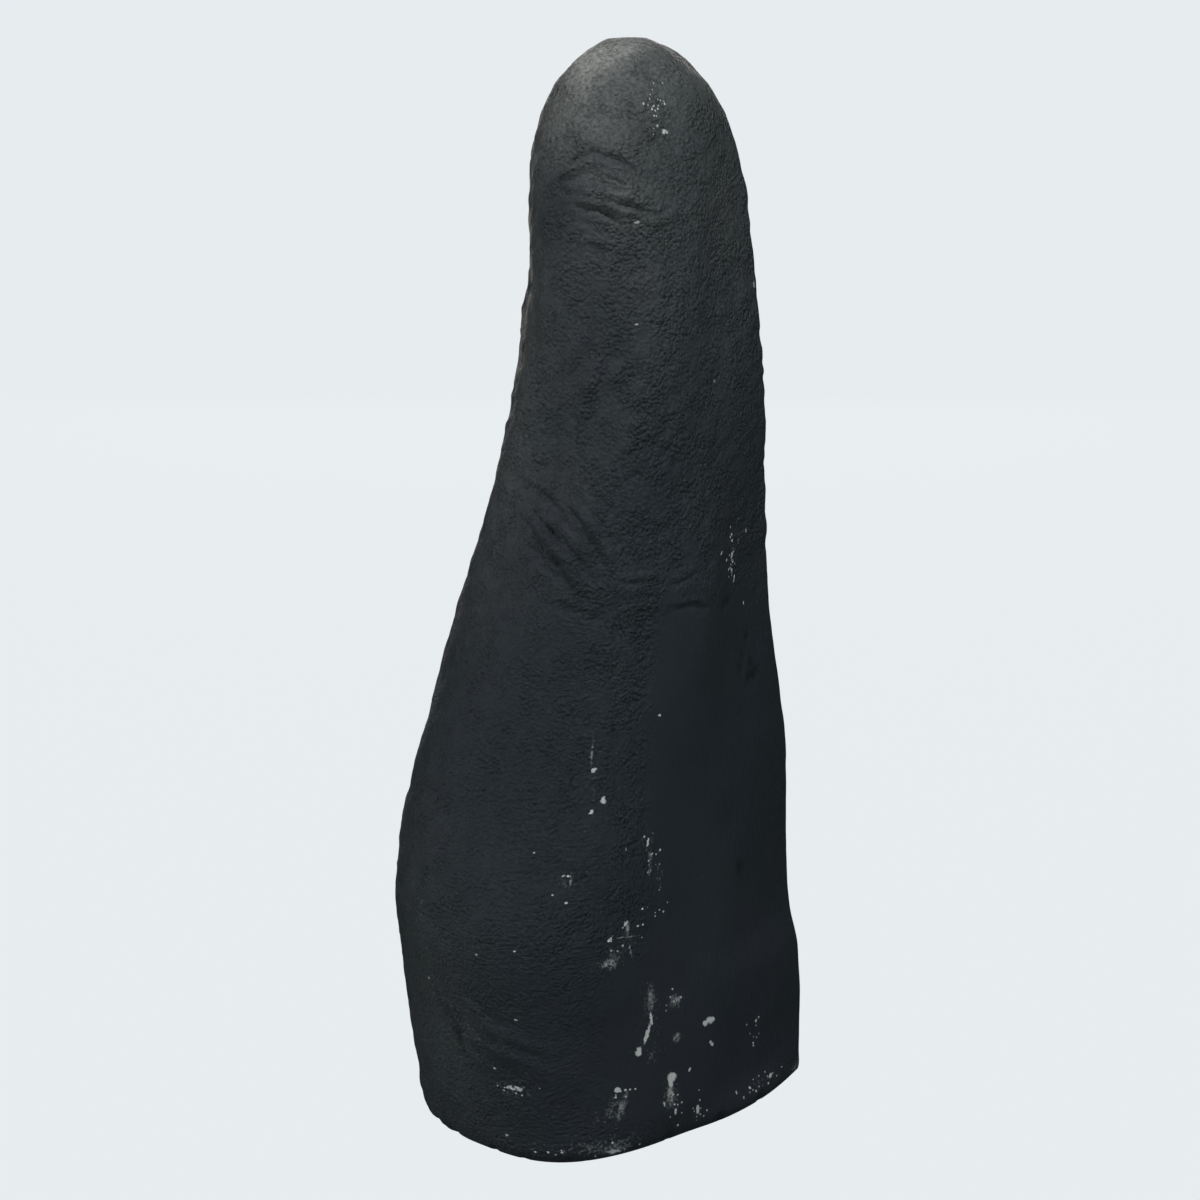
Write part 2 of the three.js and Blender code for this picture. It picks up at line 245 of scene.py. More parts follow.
EDGE_STEPS = np.array([0, 0.18, 0.45, 0.85, 1.4])  # finer columns beside the sawn edge
EDGE_ROOM = 20  # a row shorter than this has them closer together
CLOSE_ROWS = 8
OUTLINE_SAMPLES, ROW_SAMPLES = 4000, 700
HALVINGS = 45  # of the search for the place where a row meets the saw plane
PLANE_SLACK, LOOP_SLACK = 1e-6, 1e-7
LATTICE_ROWS = 0.866  # their distance, as a share of the lattice's spacing
LOOP_ROOM = 0.4  # share of the spacing that is kept free beside the two loops


def rows_up(outline, place, step, finer):
    """Steps along an outline, shorter where finer is above 1, with closer ones (their distance grows as a
    square) on both sides of each place where the saw plane just touches the surface."""
    rho, z = outline.T
    along = length_along(outline)
    dense = np.linspace(0, along[-1], OUTLINE_SAMPLES)
    rho_d, z_d = np.interp(dense, along, rho), np.interp(dense, along, z)
    steps = np.cumsum((dense[1] / step) * finer(z_d))
    rows = np.interp(np.linspace(steps[0], steps[-1], int(steps[-1]) + 1), steps, dense)
    ahead = place(np.full(dense.shape, -QUARTER), rho_d, z_d)[:, 1] - front_y(z_d)
    for i in np.nonzero(np.diff(np.sign(ahead)))[0]:
        touch = dense[i] + (dense[i + 1] - dense[i]) * ahead[i] / (ahead[i] - ahead[i + 1])
        rows = rows[np.abs(rows - touch) > step]
        close = step * np.linspace(0, 1, CLOSE_ROWS) ** 2
        rows = np.sort(np.concatenate([rows, touch - close[1:], touch + close]))
    return np.interp(rows, along, rho), np.interp(rows, along, z)


def even(place):
    """The same step everywhere, for a surface that needs no finer part."""
    return 1 + 0 * place


def sawn_surface(outline, place, step, columns, finer_up=even, finer_round=even):
    """Rows up an outline. Each runs round from the saw plane on its right to the plane on its left, in
    lengths that are shorter where finer_round is above 1 and finer ones at both ends. A row that doesn't
    reach the plane runs all the way round. Gives the points by row and column, the direction of each and
    which rows run all the way."""
    rho, z = rows_up(outline, place, step, finer_up)
    whole = place(np.full(rho.shape, -QUARTER), rho, z)[:, 1] >= front_y(z) - PLANE_SLACK

    def meeting(start):
        """The direction in which each row meets the saw plane, between a start in front of the plane and
        the middle of the back, found by halving."""
        ahead, behind = np.full(rho.shape, start), np.full(rho.shape, QUARTER)
        for _ in range(HALVINGS):
            middle = (ahead + behind) / 2
            cut = place(middle, rho, z)[:, 1] < front_y(z)
            ahead, behind = np.where(cut, middle, ahead), np.where(cut, behind, middle)
        return (ahead + behind) / 2

    right = np.where(whole, -QUARTER, meeting(-QUARTER))
    left = np.where(whole, 3 * QUARTER, meeting(3 * QUARTER))
    fine = right[:, None] + (left - right)[:, None] * np.linspace(0, 1, ROW_SAMPLES)
    dense = place(fine, rho[:, None] + 0 * fine, z[:, None] + 0 * fine)
    steps = np.cumsum(np.linalg.norm(np.diff(dense, axis=1), axis=2), 1)
    angles = np.empty((len(z), columns))
    for row, (length, angle) in enumerate(zip(np.pad(steps, ((0, 0), (1, 0))), fine)):
        total = length[-1]
        if total < PLANE_SLACK:
            angles[row] = np.linspace(angle[0], angle[-1], columns)
            continue
        edge = EDGE_STEPS * min(1, total / EDGE_ROOM)
        count = np.concatenate([[0], np.cumsum(np.diff(length) * finer_round(angle[1:]))])
        first, last = np.interp([edge[-1], total - edge[-1]], length, count)
        inner = np.interp(np.linspace(first, last, columns - 2 * len(edge) + 2)[1:-1], count, angle)
        ends = np.interp([edge, total - edge[::-1]], length, angle)
        angles[row] = np.concatenate([ends[0], inner, ends[1]])
    points = place(angles, rho[:, None] + 0 * angles, z[:, None] + 0 * angles)
    ends_on_plane(points, whole)
    return points, angles, whole


def ends_on_plane(points, whole):
    """Puts the ends of the sawn rows, and of the row that the plane just touches, on the saw plane."""
    rows = np.convolve(~whole, (1, 1, 1), "same") > 0
    for end in (0, -1):
        points[rows, end, 1] = front_y(points[rows, end, 2])


def outward(points, whole):
    """The outward direction at each grid point, square to the steps along its row and its column."""
    around, up = np.gradient(points, axis=1), np.gradient(points, axis=0)
    around[whole, 0] = around[whole, -1] = points[whole, 1] - points[whole, -2]
    n = np.cross(around, up)
    length = np.linalg.norm(n, axis=2, keepdims=True)
    return np.where(length > TINY, n / np.maximum(length, TINY), (0, 0, 1))


def edge_loop(points, whole):
    """The line along which a surface meets the saw plane: up its right side and down its left, by way of
    the row that the plane just touches above and, where there is one, below."""
    rows = np.nonzero(~whole)[0]
    right, left = points[rows, 0], points[rows[::-1], -1]
    below = points[rows[0] - 1:rows[0], 0] if rows[0] else right[:0]
    return np.concatenate([below, right, points[rows[-1] + 1, :1], left])


def quads(rows, columns, start=0):
    """The faces of a grid of points. They face outwards if columns run anticlockwise and rows run up."""
    i = start + np.arange(rows - 1)[:, None] * columns + np.arange(columns - 1)
    return np.stack([i, i + 1, i + columns + 1, i + columns], -1).reshape(-1, 4)


def inside(p, loop):
    """Whether each point lies in a loop: a line to its right crosses the loop an odd number of times."""
    a, b = loop, np.roll(loop, -1, 0)
    rise = np.where(a[:, 1] == b[:, 1], TINY, b[:, 1] - a[:, 1])
    crosses = (a[:, 1] > p[:, 1:2]) != (b[:, 1] > p[:, 1:2])
    x = a[:, 0] + (p[:, 1:2] - a[:, 1]) * (b[:, 0] - a[:, 0]) / rise
    return (crosses & (p[:, :1] < x)).sum(1) % 2 == 1


def distance(p, loop):
    """The distance from each point of a plane to the nearest stretch of a loop."""
    a, way = loop, np.roll(loop, -1, 0) - loop
    t = np.clip(((p[:, None] - a) * way).sum(2) / np.maximum((way * way).sum(1), TINY), 0, 1)
    return np.linalg.norm(p[:, None] - a - t[..., None] * way, axis=2).min(1)


def sawn_face(outer, inner, spacing):
    """The flat face between two loops on the saw plane, as triangles over a lattice of that spacing, and
    each point's distance to the two loops in millimetres."""
    outer, inner = (np.stack([p[:, 0], p[:, 2] / math.cos(FRONT_LEAN)], 1) for p in (outer, inner))
    low, high = outer.min(0), outer.max(0)
    u, v = np.meshgrid(np.arange(low[0], high[0], spacing),
                       np.arange(low[1], high[1], spacing * LATTICE_ROWS))
    u[1::2] += spacing / 2
    lattice = np.stack([u.ravel(), v.ravel()], 1)
    lattice = lattice[inside(lattice, outer) & ~inside(lattice, inner)]
    lattice = lattice[np.minimum(distance(lattice, outer), distance(lattice, inner)) > spacing * LOOP_ROOM]
    i, first = np.arange(len(outer) + len(inner)), len(outer)
    after = np.concatenate([np.roll(i[:first], -1), np.roll(i[first:], -1)])
    points = [Vector(p) for p in np.concatenate([outer, inner, lattice])]
    made = delaunay_2d_cdt(points, list(zip(i.tolist(), after.tolist())), [], 0, LOOP_SLACK, False)
    p = np.array([v[:] for v in made[0]])
    faces = np.array([f for f in made[2] if len(f) == 3])
    middle = p[faces].mean(1)
    faces = faces[inside(middle, outer) & ~inside(middle, inner)]
    a, b, c = (p[faces[:, i]] for i in range(3))
    clockwise = (b[:, 0] - a[:, 0]) * (c[:, 1] - a[:, 1]) < (c[:, 0] - a[:, 0]) * (b[:, 1] - a[:, 1])
    faces[clockwise] = faces[clockwise][:, ::-1]
    z = p[:, 1] * math.cos(FRONT_LEAN)
    return np.stack([p[:, 0], front_y(z), z], 1), faces, distance(p, outer), distance(p, inner)


def mesh_object(name, points, faces, materials=(), kinds=None):
    """A mesh piece from points in millimetres, with each face's material by place in the list."""
    mesh = bpy.data.meshes.new(name)
    mesh.from_pydata(((points - MIDDLE) / METRE).tolist(), [], faces)
    for m in materials:
        mesh.materials.append(m)
    if kinds is not None:
        mesh.polygons.foreach_set("material_index", np.asarray(kinds, np.int32))
    made = bpy.data.objects.new(name, mesh)
    SCENE.collection.objects.link(made)
    return made


def store(mesh, name, values):
    """Keeps one number for each vertex under that name."""
    mesh.attributes.new(name, "FLOAT", "POINT").data.foreach_set("value", np.asarray(values, np.float32))


@contextmanager
def edited(piece):
    """Opens a piece's mesh for editing and puts it back when the work on it is done."""
    bm = bmesh.new()
    bm.from_mesh(piece.data)
    yield bm
    bm.to_mesh(piece.data)
    bm.free()


MERGED_WITHIN = 2e-6  # metres


def merged(piece):
    """Joins the vertices that lie on each other and drops the faces that close up."""
    with edited(piece) as bm:
        bmesh.ops.remove_doubles(bm, verts=bm.verts, dist=MERGED_WITHIN)
        bmesh.ops.dissolve_degenerate(bm, edges=bm.edges, dist=MERGED_WITHIN / 2)


# ---- Materials -----------------------------------------------------------------------------------

def srgb(code):
    """A hex colour as linear values."""
    parts = np.array([int(code[i:i + 2], 16) / 255 for i in (0, 2, 4)])
    linear = np.where(parts <= 0.04045, parts / 12.92, ((parts + 0.055) / 1.055) ** 2.4)
    return (*linear.tolist(), 1.0)


def material(name):
    """A new material, and the function that adds a node to it. That function gives one of the node's
    outputs: the one named out, or else its first live one. Inputs, in order or by name or place, take a
    value or another node's output. A MapRange has them in the order value, from, to, and what these two
    become. Stops are a ramp's places and colours."""
    made = bpy.data.materials.new(name)
    made.use_nodes = True
    tree = made.node_tree
    tree.nodes.clear()

    def add(kind, inputs=(), out=None, stops=(), **settings):
        """One node with its settings and links."""
        node = tree.nodes.new("ShaderNode" + kind)
        for key, value in settings.items():
            setattr(node, key, value)
        for i, (place, colour) in enumerate(stops):
            stop = node.color_ramp.elements[i] if i < 2 else node.color_ramp.elements.new(place)
            stop.position, stop.color = place, srgb(colour)
        for key, value in inputs.items() if isinstance(inputs, dict) else enumerate(inputs):
            if isinstance(value, bpy.types.NodeSocket):
                tree.links.new(value, node.inputs[key])
            else:
                node.inputs[key].default_value = value
        return node.outputs[out] if out else next((o for o in node.outputs if o.enabled), None)

    return made, add


def scale(size):
    """The scale at which a pattern's features have that size in millimetres."""
    return 1 / (size * MM)


def unrolled(angle, z):
    """How far round the coat a place is when the coat is laid flat, in millimetres: its turn from the
    middle of the back, which is kept between -90 and 270 degrees, times the half width at that height."""
    return (angle - QUARTER) * section_at(z)[2]


CHIPS = [  # paint knocked off to bare cement: angle, height, half width across and along, turn from upright
    (149, 479.3, 1.6, 1.2, 0), (151, 479, 0.9, 0.9, 0), (127, 440, 1.3, 0.7, -30), (127, 394, 0.7, 0.6, 0),
    (183, 363, 0.7, 0.6, 0), (220, 403, 0.6, 1.8, 0), (198, 288, 0.8, 0.9, 0), (197.5, 285, 1, 0.9, 40),
    (211, 286.5, 0.7, 0.8, 0), (183.5, 282, 0.9, 1, 30), (197, 278, 1.3, 1.6, 20), (191, 277, 0.8, 0.8, 0),
    (196, 270.5, 0.7, 2, -20), (198.2, 266, 0.8, 2.1, 30), (206, 252, 0.6, 0.9, 0), (148, 212, 0.8, 0.8, 0),
    (124, 190, 1.2, 1.3, 0), (127.5, 176, 1.3, 1.9, -10), (124, 171, 1, 1.1, 0), (143, 153, 0.8, 2.4, 0),
    (135, 152, 0.5, 0.5, 0), (117, 144, 0.6, 0.6, 0), (109, 154, 0.6, 0.5, 0), (134.7, 117, 0.7, 1.4, 20),
    (129.5, 111.3, 0.6, 1.4, 30), (96, 105, 0.6, 0.5, 0), (106, 110, 0.6, 0.6, 0), (105, 75, 0.7, 0.6, 0),
    (97, 47, 0.6, 0.5, 0), (98, 12, 0.6, 0.8, 0), (75, 82, 0.6, 0.5, 0), (142.4, 66, 0.8, 3.6, -6),
    (140.7, 59, 1.1, 5.6, 22), (137.4, 51.4, 1.6, 2.5, 20), (168.4, 55.4, 3.3, 1.9, 8),
    (166, 54.6, 2, 1.7, 0), (169.3, 42.6, 1.3, 1, 0), (168.3, 44, 0.8, 1, 0), (150, 33.5, 3, 2.4, 20),
    (149.2, 31.5, 1.6, 3.4, -10), (146.2, 21, 0.6, 1.4, 0), (151, 15, 0.8, 1.8, 0),
    (162, 11.5, 1.3, 2.4, 10), (158, 34, 0.8, 0.9, 0), (129.7, 35, 1.7, 1.2, 0), (101, 38.2, 2.2, 0.9, 0),
    (103.5, 38.6, 1.6, 1.1, 0), (127.8, 3.4, 3.6, 1.1, 8), (194.6, 43, 0.7, 1.2, 0),
    (193.7, 30.5, 1.1, 0.7, 0), (202.7, 10, 1.6, 0.9, -30), (190.4, 10, 0.8, 0.8, 0),
    (183, 11, 0.6, 0.9, 0), (20, 90, 1.6, 1, 0), (35, 30, 2.4, 1.4, 10), (-8, 14, 2, 1.6, 0),
    (-20, 200, 0.8, 1.2, 0),
]
SCUFFS = [  # fainter rubbed lines and spots, as in CHIPS
    (135.4, 110.2, 5.2, 0.4, 12), (135.2, 114, 1, 3.4, 0), (136, 104.5, 0.5, 4.6, -8),
    (119, 142, 0.5, 3, 0), (123, 198, 0.5, 5.5, -6), (142.6, 76, 1.6, 6, 0), (152.8, 71, 3.2, 2.6, 0),
    (152.6, 52.6, 2.4, 2.2, 0), (129.3, 99.5, 3, 2, 0), (149, 24.5, 2.2, 5, 0), (144, 142, 0.8, 6, 0),
    (204, 284, 0.6, 2.6, 0), (131, 26, 1.4, 7, 20),
]
FLECKS = [  # places peppered with pin-head chips, as in RELIEF, with the share of chips as the lift
    (144, 490, 9, 6, 0, 0.95), (143, 500, 5, 4, 0, 0.5), (-163, 276, 4, 13, -10, 0.9),
    (151, 18, 3, 8, 0, 0.7), (162, 12, 4, 5, 0, 0.8), (130, 33, 4, 3, 0, 0.6), (102, 38, 5, 3, 0, 0.6),
    (134, 110, 5, 8, 0, 0.3), (144, 142, 3, 10, 0, 0.4), (-166, 36, 4, 9, 0, 0.5), (-162, 10, 9, 3, 0, 0.7),
    (125, 6, 22, 3, 0, 0.25), (149, 119, 5, 4, 0, 0.4), (151, 72, 4, 4, 0, 0.5), (30, 30, 20, 14, 0, 0.4),
    (117, 142, 5, 4, 0, 0.15),
]
DUST = [  # pale rubbed places, with their strength as the lift
    (148, 136, 4, 13, 0, 0.3), (133, 106, 8, 8, 0, 0.25), (129, 99, 5, 5, 0, 0.35),
    (142, 62, 6, 14, 16, 0.2), (143, 78, 4, 9, 0, 0.32), (153, 71, 5, 5, 0, 0.4), (153, 52.6, 4, 4, 0, 0.3),
    (142, 47, 4, 5, 0, 0.25), (149, 24, 5, 10, 0, 0.45), (129, 28, 5, 7, 0, 0.35), (124, 20, 6, 7, 0, 0.25),
    (122, 8, 24, 5, 0, 0.35), (128, 4, 7, 3, 0, 0.5), (102, 38, 7, 4, 0, 0.35), (-162, 10, 12, 4, 0, 0.3),
    (-162, 277, 6, 14, -10, 0.25), (124, 184, 3, 14, 0, 0.2), (135, 165, 4, 25, 0, 0.12),
    (40, 20, 30, 14, 0, 0.25), (143, 152, 4, 7, 0, 0.3), (119, 142, 6, 5, 0, 0.25), (-142, 4, 8, 5, 0, 0.5),
    (86, 62, 15, 26, 0, 0.24), (74, 115, 7, 36, 0, 0.2),
]
LUMPS = [  # trowelled lumps, as in RELIEF
    (87, 397, 4, 6, 20, 1.6), (96, 382, 5, 8, -25, 2), (104, 366, 5, 7, -30, 2.1), (109, 378, 4, 6, 0, 1.7),
    (118, 370, 4, 5, 30, 1.4), (99, 352, 4, 6, 20, 1.6), (92, 410, 4, 5, 10, 1.3),
    (112, 352, 4, 5, -20, 1.2),
]
PITS = [  # pits and the pitted patch, as in RELIEF; the pits are also painted dark as shade
    (-155, 235.6, 2, 2, 0, -0.9), (-163.6, 222, 1.8, 2, 0, -0.9), (-157.5, 216, 3, 2, 0, -1.1),
    (-153, 218, 2.4, 2, 0, -1), (-155.5, 223, 1.8, 2.2, 0, -0.8), (-160, 229, 1.8, 2.6, 0, -0.6),
    (-175, 256.5, 2.2, 1.8, 0, -1), (-170, 257.5, 3, 1.8, 0, -0.6), (93, 504, 1.8, 1.8, 0, -0.9),
    (-162, 484, 1.8, 2, 0, -1.1), (-171, 124, 2, 2.5, 0, -0.9), (150, 330, 1.8, 1.8, 0, -0.6),
]
CREASES = [  # start and end (angle, height), bow of the middle, half width, depth (a crease) or lift (a fold)
    (92, 487, 122, 485, 1.5, 1.7, -0.85), (84, 463, 104, 471, 1, 1.3, -0.8),
    (103, 471, 129, 459, 3, 1.4, -1.2), (100, 466, 124, 453, 3, 2.8, 0.9), (81, 458, 100, 465, 1, 1.6, 0.8),
    (84, 455, 108, 451, -1, 1.3, -0.9), (108, 451, 136, 441, 2, 1.4, -1.2),
    (134, 443, 150, 446, -1, 1.3, -0.7), (126, 451, 135, 455, 0.5, 1.2, -0.5),
    (108, 453, 116, 451, 0.5, 1.5, 0.7), (90, 452, 122, 440, 3, 1.5, 0.5),
    (99, 446, 120, 439, 2, 1.4, -0.5), (92, 440, 112, 434, 2, 1.5, -0.4), (98, 433, 116, 428, 1, 1.4, 0.35),
    (86, 474, 96, 482, 1, 1.6, 0.5), (120, 421, 125, 424, 0, 1.4, -0.5), (66, 322, 106, 300, 3, 2, 1),
    (74, 318, 112, 292, 3, 1.5, -0.95), (71, 309, 116, 277, 4, 1.6, -1), (94, 314, 123, 282, 5, 1.8, 0.9),
    (84, 298, 112, 272, 3, 1.7, 0.95), (80, 290, 100, 276, 2, 1.5, -0.8), (84, 304, 97, 298, 1, 1.3, 0.5),
    (98, 286, 112, 279, 1, 1.4, -0.6), (102, 322, 124, 300, 3, 1.5, -0.4),
    (100, 268, 118, 262, 2, 1.7, 0.6), (146, 274, 127, 276, -1.2, 1.05, -0.6),
    (166, 277, 144, 274, 1, 1.05, -0.55), (127, 278, 129, 232, 1, 1.9, -0.22),
    (129.5, 232, 133, 184, -1, 2.2, -0.2), (170, 259, 150, 262, -1, 1.2, -0.45),
    (78, 76, 87, 48, 1.5, 1.9, -0.85), (81, 74, 91, 46, 1, 1.8, 0.65), (84, 72, 97, 52, 1.5, 1.3, -0.45),
    (89, 63, 112, 52, 2, 1.3, -0.45), (92, 67, 114, 58, 2, 1.4, 0.4), (96, 72, 108, 70, 0.5, 1.6, -0.25),
    (84, 84, 98, 66, 1, 1.6, 0.5), (82, 58, 94, 40, 1, 1.6, 0.5), (88, 54, 104, 44, 1.5, 1.5, -0.45),
    (-12, 334, 18, 310, 4, 2.2, -0.5), (-16, 262, 16, 242, 4, 2, 0.6), (-20, 400, 16, 384, 3, 2, -0.5),
    (-8, 120, 24, 98, 4, 2.2, -0.5), (-30, 300, 2, 312, 2, 2, 0.4),
]
FILM_AND_PAINTED_LIGHT_PATCHES = [  # where the pale film, dust with painted light, is stronger or weaker, as in RELIEF, with the added share of film as the lift; a stronger patch is a painted highlight, a weaker one painted shade
    (84, 446, 16, 22, 0, -0.07), (120, 449, 18, 14, 0, 0.08), (195, 440, 24, 30, 0, 0.02),
    (58, 335, 18, 75, 0, 0.05), (76, 65, 22, 60, 0, 0.035), (76, 492, 14, 16, 0, 0.05),
    (110, 390, 20, 26, 0, -0.03), (140, 330, 24, 30, 0, -0.02),
]
FOLDED = [  # where the brush dragged the drying coat into fine crinkles, as in RELIEF
    (112, 455, 16, 18, 60, 1), (98, 295, 16, 26, 50, 1), (96, 345, 12, 26, 80, 0.8),
    (90, 66, 18, 40, 0, 0.9),
]
CREASE_POINTS, CREASE_WAVER = 24, (0.5, 9)  # points of a crease's line, and its waver's size and waves
CREASE_GAIN, BESIDE_SHARE = 2.5, 0.55
FADE_FROM, FADE_SPAN, FADE_POWER = 0.06, 0.88, 0.7


def creases(angle, z):
    """The sum of creases and folds. Each follows a bowed, slightly wavering line over the unrolled coat,
    and its depth is a bell curve of the distance to that line, with a weaker one of the other sign beside
    it, fading in and out along the line as a power of a sine."""
    across = unrolled(angle, z)
    total = np.zeros(across.shape)
    t = np.linspace(0, 1, CREASE_POINTS)
    for a0, z0, a1, z1, bow, half, lift in CREASES:
        s0, s1 = unrolled(np.radians([a0, a1]), np.array([z0, z1], float))
        way = np.array([s1 - s0, z1 - z0])
        side = np.array([-way[1], way[0]]) / np.linalg.norm(way)
        bend = 4 * bow * t * (1 - t) + CREASE_WAVER[0] * np.sin(CREASE_WAVER[1] * t + a0)
        line = np.array([s0, z0]) + t[:, None] * way + bend[:, None] * side
        room = 4 * half + abs(bow) + 2
        close = ((across > min(s0, s1) - room) & (across < max(s0, s1) + room)
                 & (z > min(z0, z1) - room) & (z < max(z0, z1) + room))
        p = np.stack([across[close], z[close]], 1)
        if not len(p):
            continue
        offset = p[:, None] - line
        nearest = np.linalg.norm(offset, axis=2).argmin(1)
        chosen = offset[np.arange(len(p)), nearest]
        signed = np.linalg.norm(chosen, axis=1) * np.sign(chosen @ side) / half
        fade = np.sin(np.pi * (FADE_FROM + FADE_SPAN * t[nearest])) ** FADE_POWER
        depth = np.exp(-signed**2) - BESIDE_SHARE * np.exp(-(signed + 2) ** 2)
        total[close] += CREASE_GAIN * lift * fade * depth
    return total


# Where the coat's finishes lie: heights in millimetres and directions in degrees
SANDY_FROM, LOW_TO, FOOT_TO = (225, 300), (70, 125), (8, 26)
TROWELLED, TROWELLED_TOP, TROWELLED_SLANT, TROWELLED_MIDDLE = (141, 151, 196, 214), (245, 285), 0.3, 150
STRIP_MIDDLE, STRIP_HALF, STRIP_FROM = 136, 9, (70, 130)
LEFT, FAR, LOW_RIGHT = (2, 40, 118, 136), (40, 75, 215, 250), (94, 112)


def coat_zones(angle, z):
    """How strongly each finish shows: sandy grain, slanting and level brush strokes, upright bristle lines
    and crinkles. The coat is sandy above the belly and down a strip beside the smooth, trowelled zone."""
    degrees = np.degrees(angle) % 360
    upper = smoothstep(z, *SANDY_FROM)
    under = 1 - smoothstep(z + TROWELLED_SLANT * (degrees - TROWELLED_MIDDLE), *TROWELLED_TOP)
    trowelled = between(degrees, *TROWELLED) * under
    strip = np.exp(-(((degrees - STRIP_MIDDLE) / STRIP_HALF) ** 2)) * smoothstep(z, *STRIP_FROM)
    left, far = between(degrees, *LEFT), 1 - between(degrees, *FAR)
    low = 1 - smoothstep(z, *LOW_TO)
    grain = np.clip(0.85 * upper + 0.8 * strip + 0.7 * left * (1 - upper) + 0.55 * far, 0.2, 1)
    grain = grain * (1 - 0.93 * trowelled) * (1 - 0.6 * low * smoothstep(degrees, *LOW_RIGHT))
    slant = np.clip(0.9 * upper + 0.35 * strip + 0.3 * far, 0, 1) * (1 - trowelled)
    level = left * (1 - upper) * (1 - 0.3 * low) + 0.25 * far * (1 - upper) + (1 - smoothstep(z, *FOOT_TO))
    return {
        "grain": grain,
        "slant": slant,
        "level": np.clip(level, 0, 1) * (1 - 0.8 * trowelled),
        "bristle": np.clip(low * (1 - 0.5 * left) + 0.1 * trowelled + 0.3 * (1 - upper) * (1 - left), 0, 1),
        "crinkle": np.clip(mounds(angle, z, FOLDED), 0, 1),
    }


STROKES = [  # name, turn in degrees, size along and across in millimetres, detail, depth
    ("slant", 50, 3.4, 1.9, 2, 0.35), ("level", 4, 2.5, 1.4, 2, 0.8), ("bristle", 88, 26, 0.9, 1, 0.22),
    ("crinkle", -26, 9, 1.6, 2, 1.1),
]


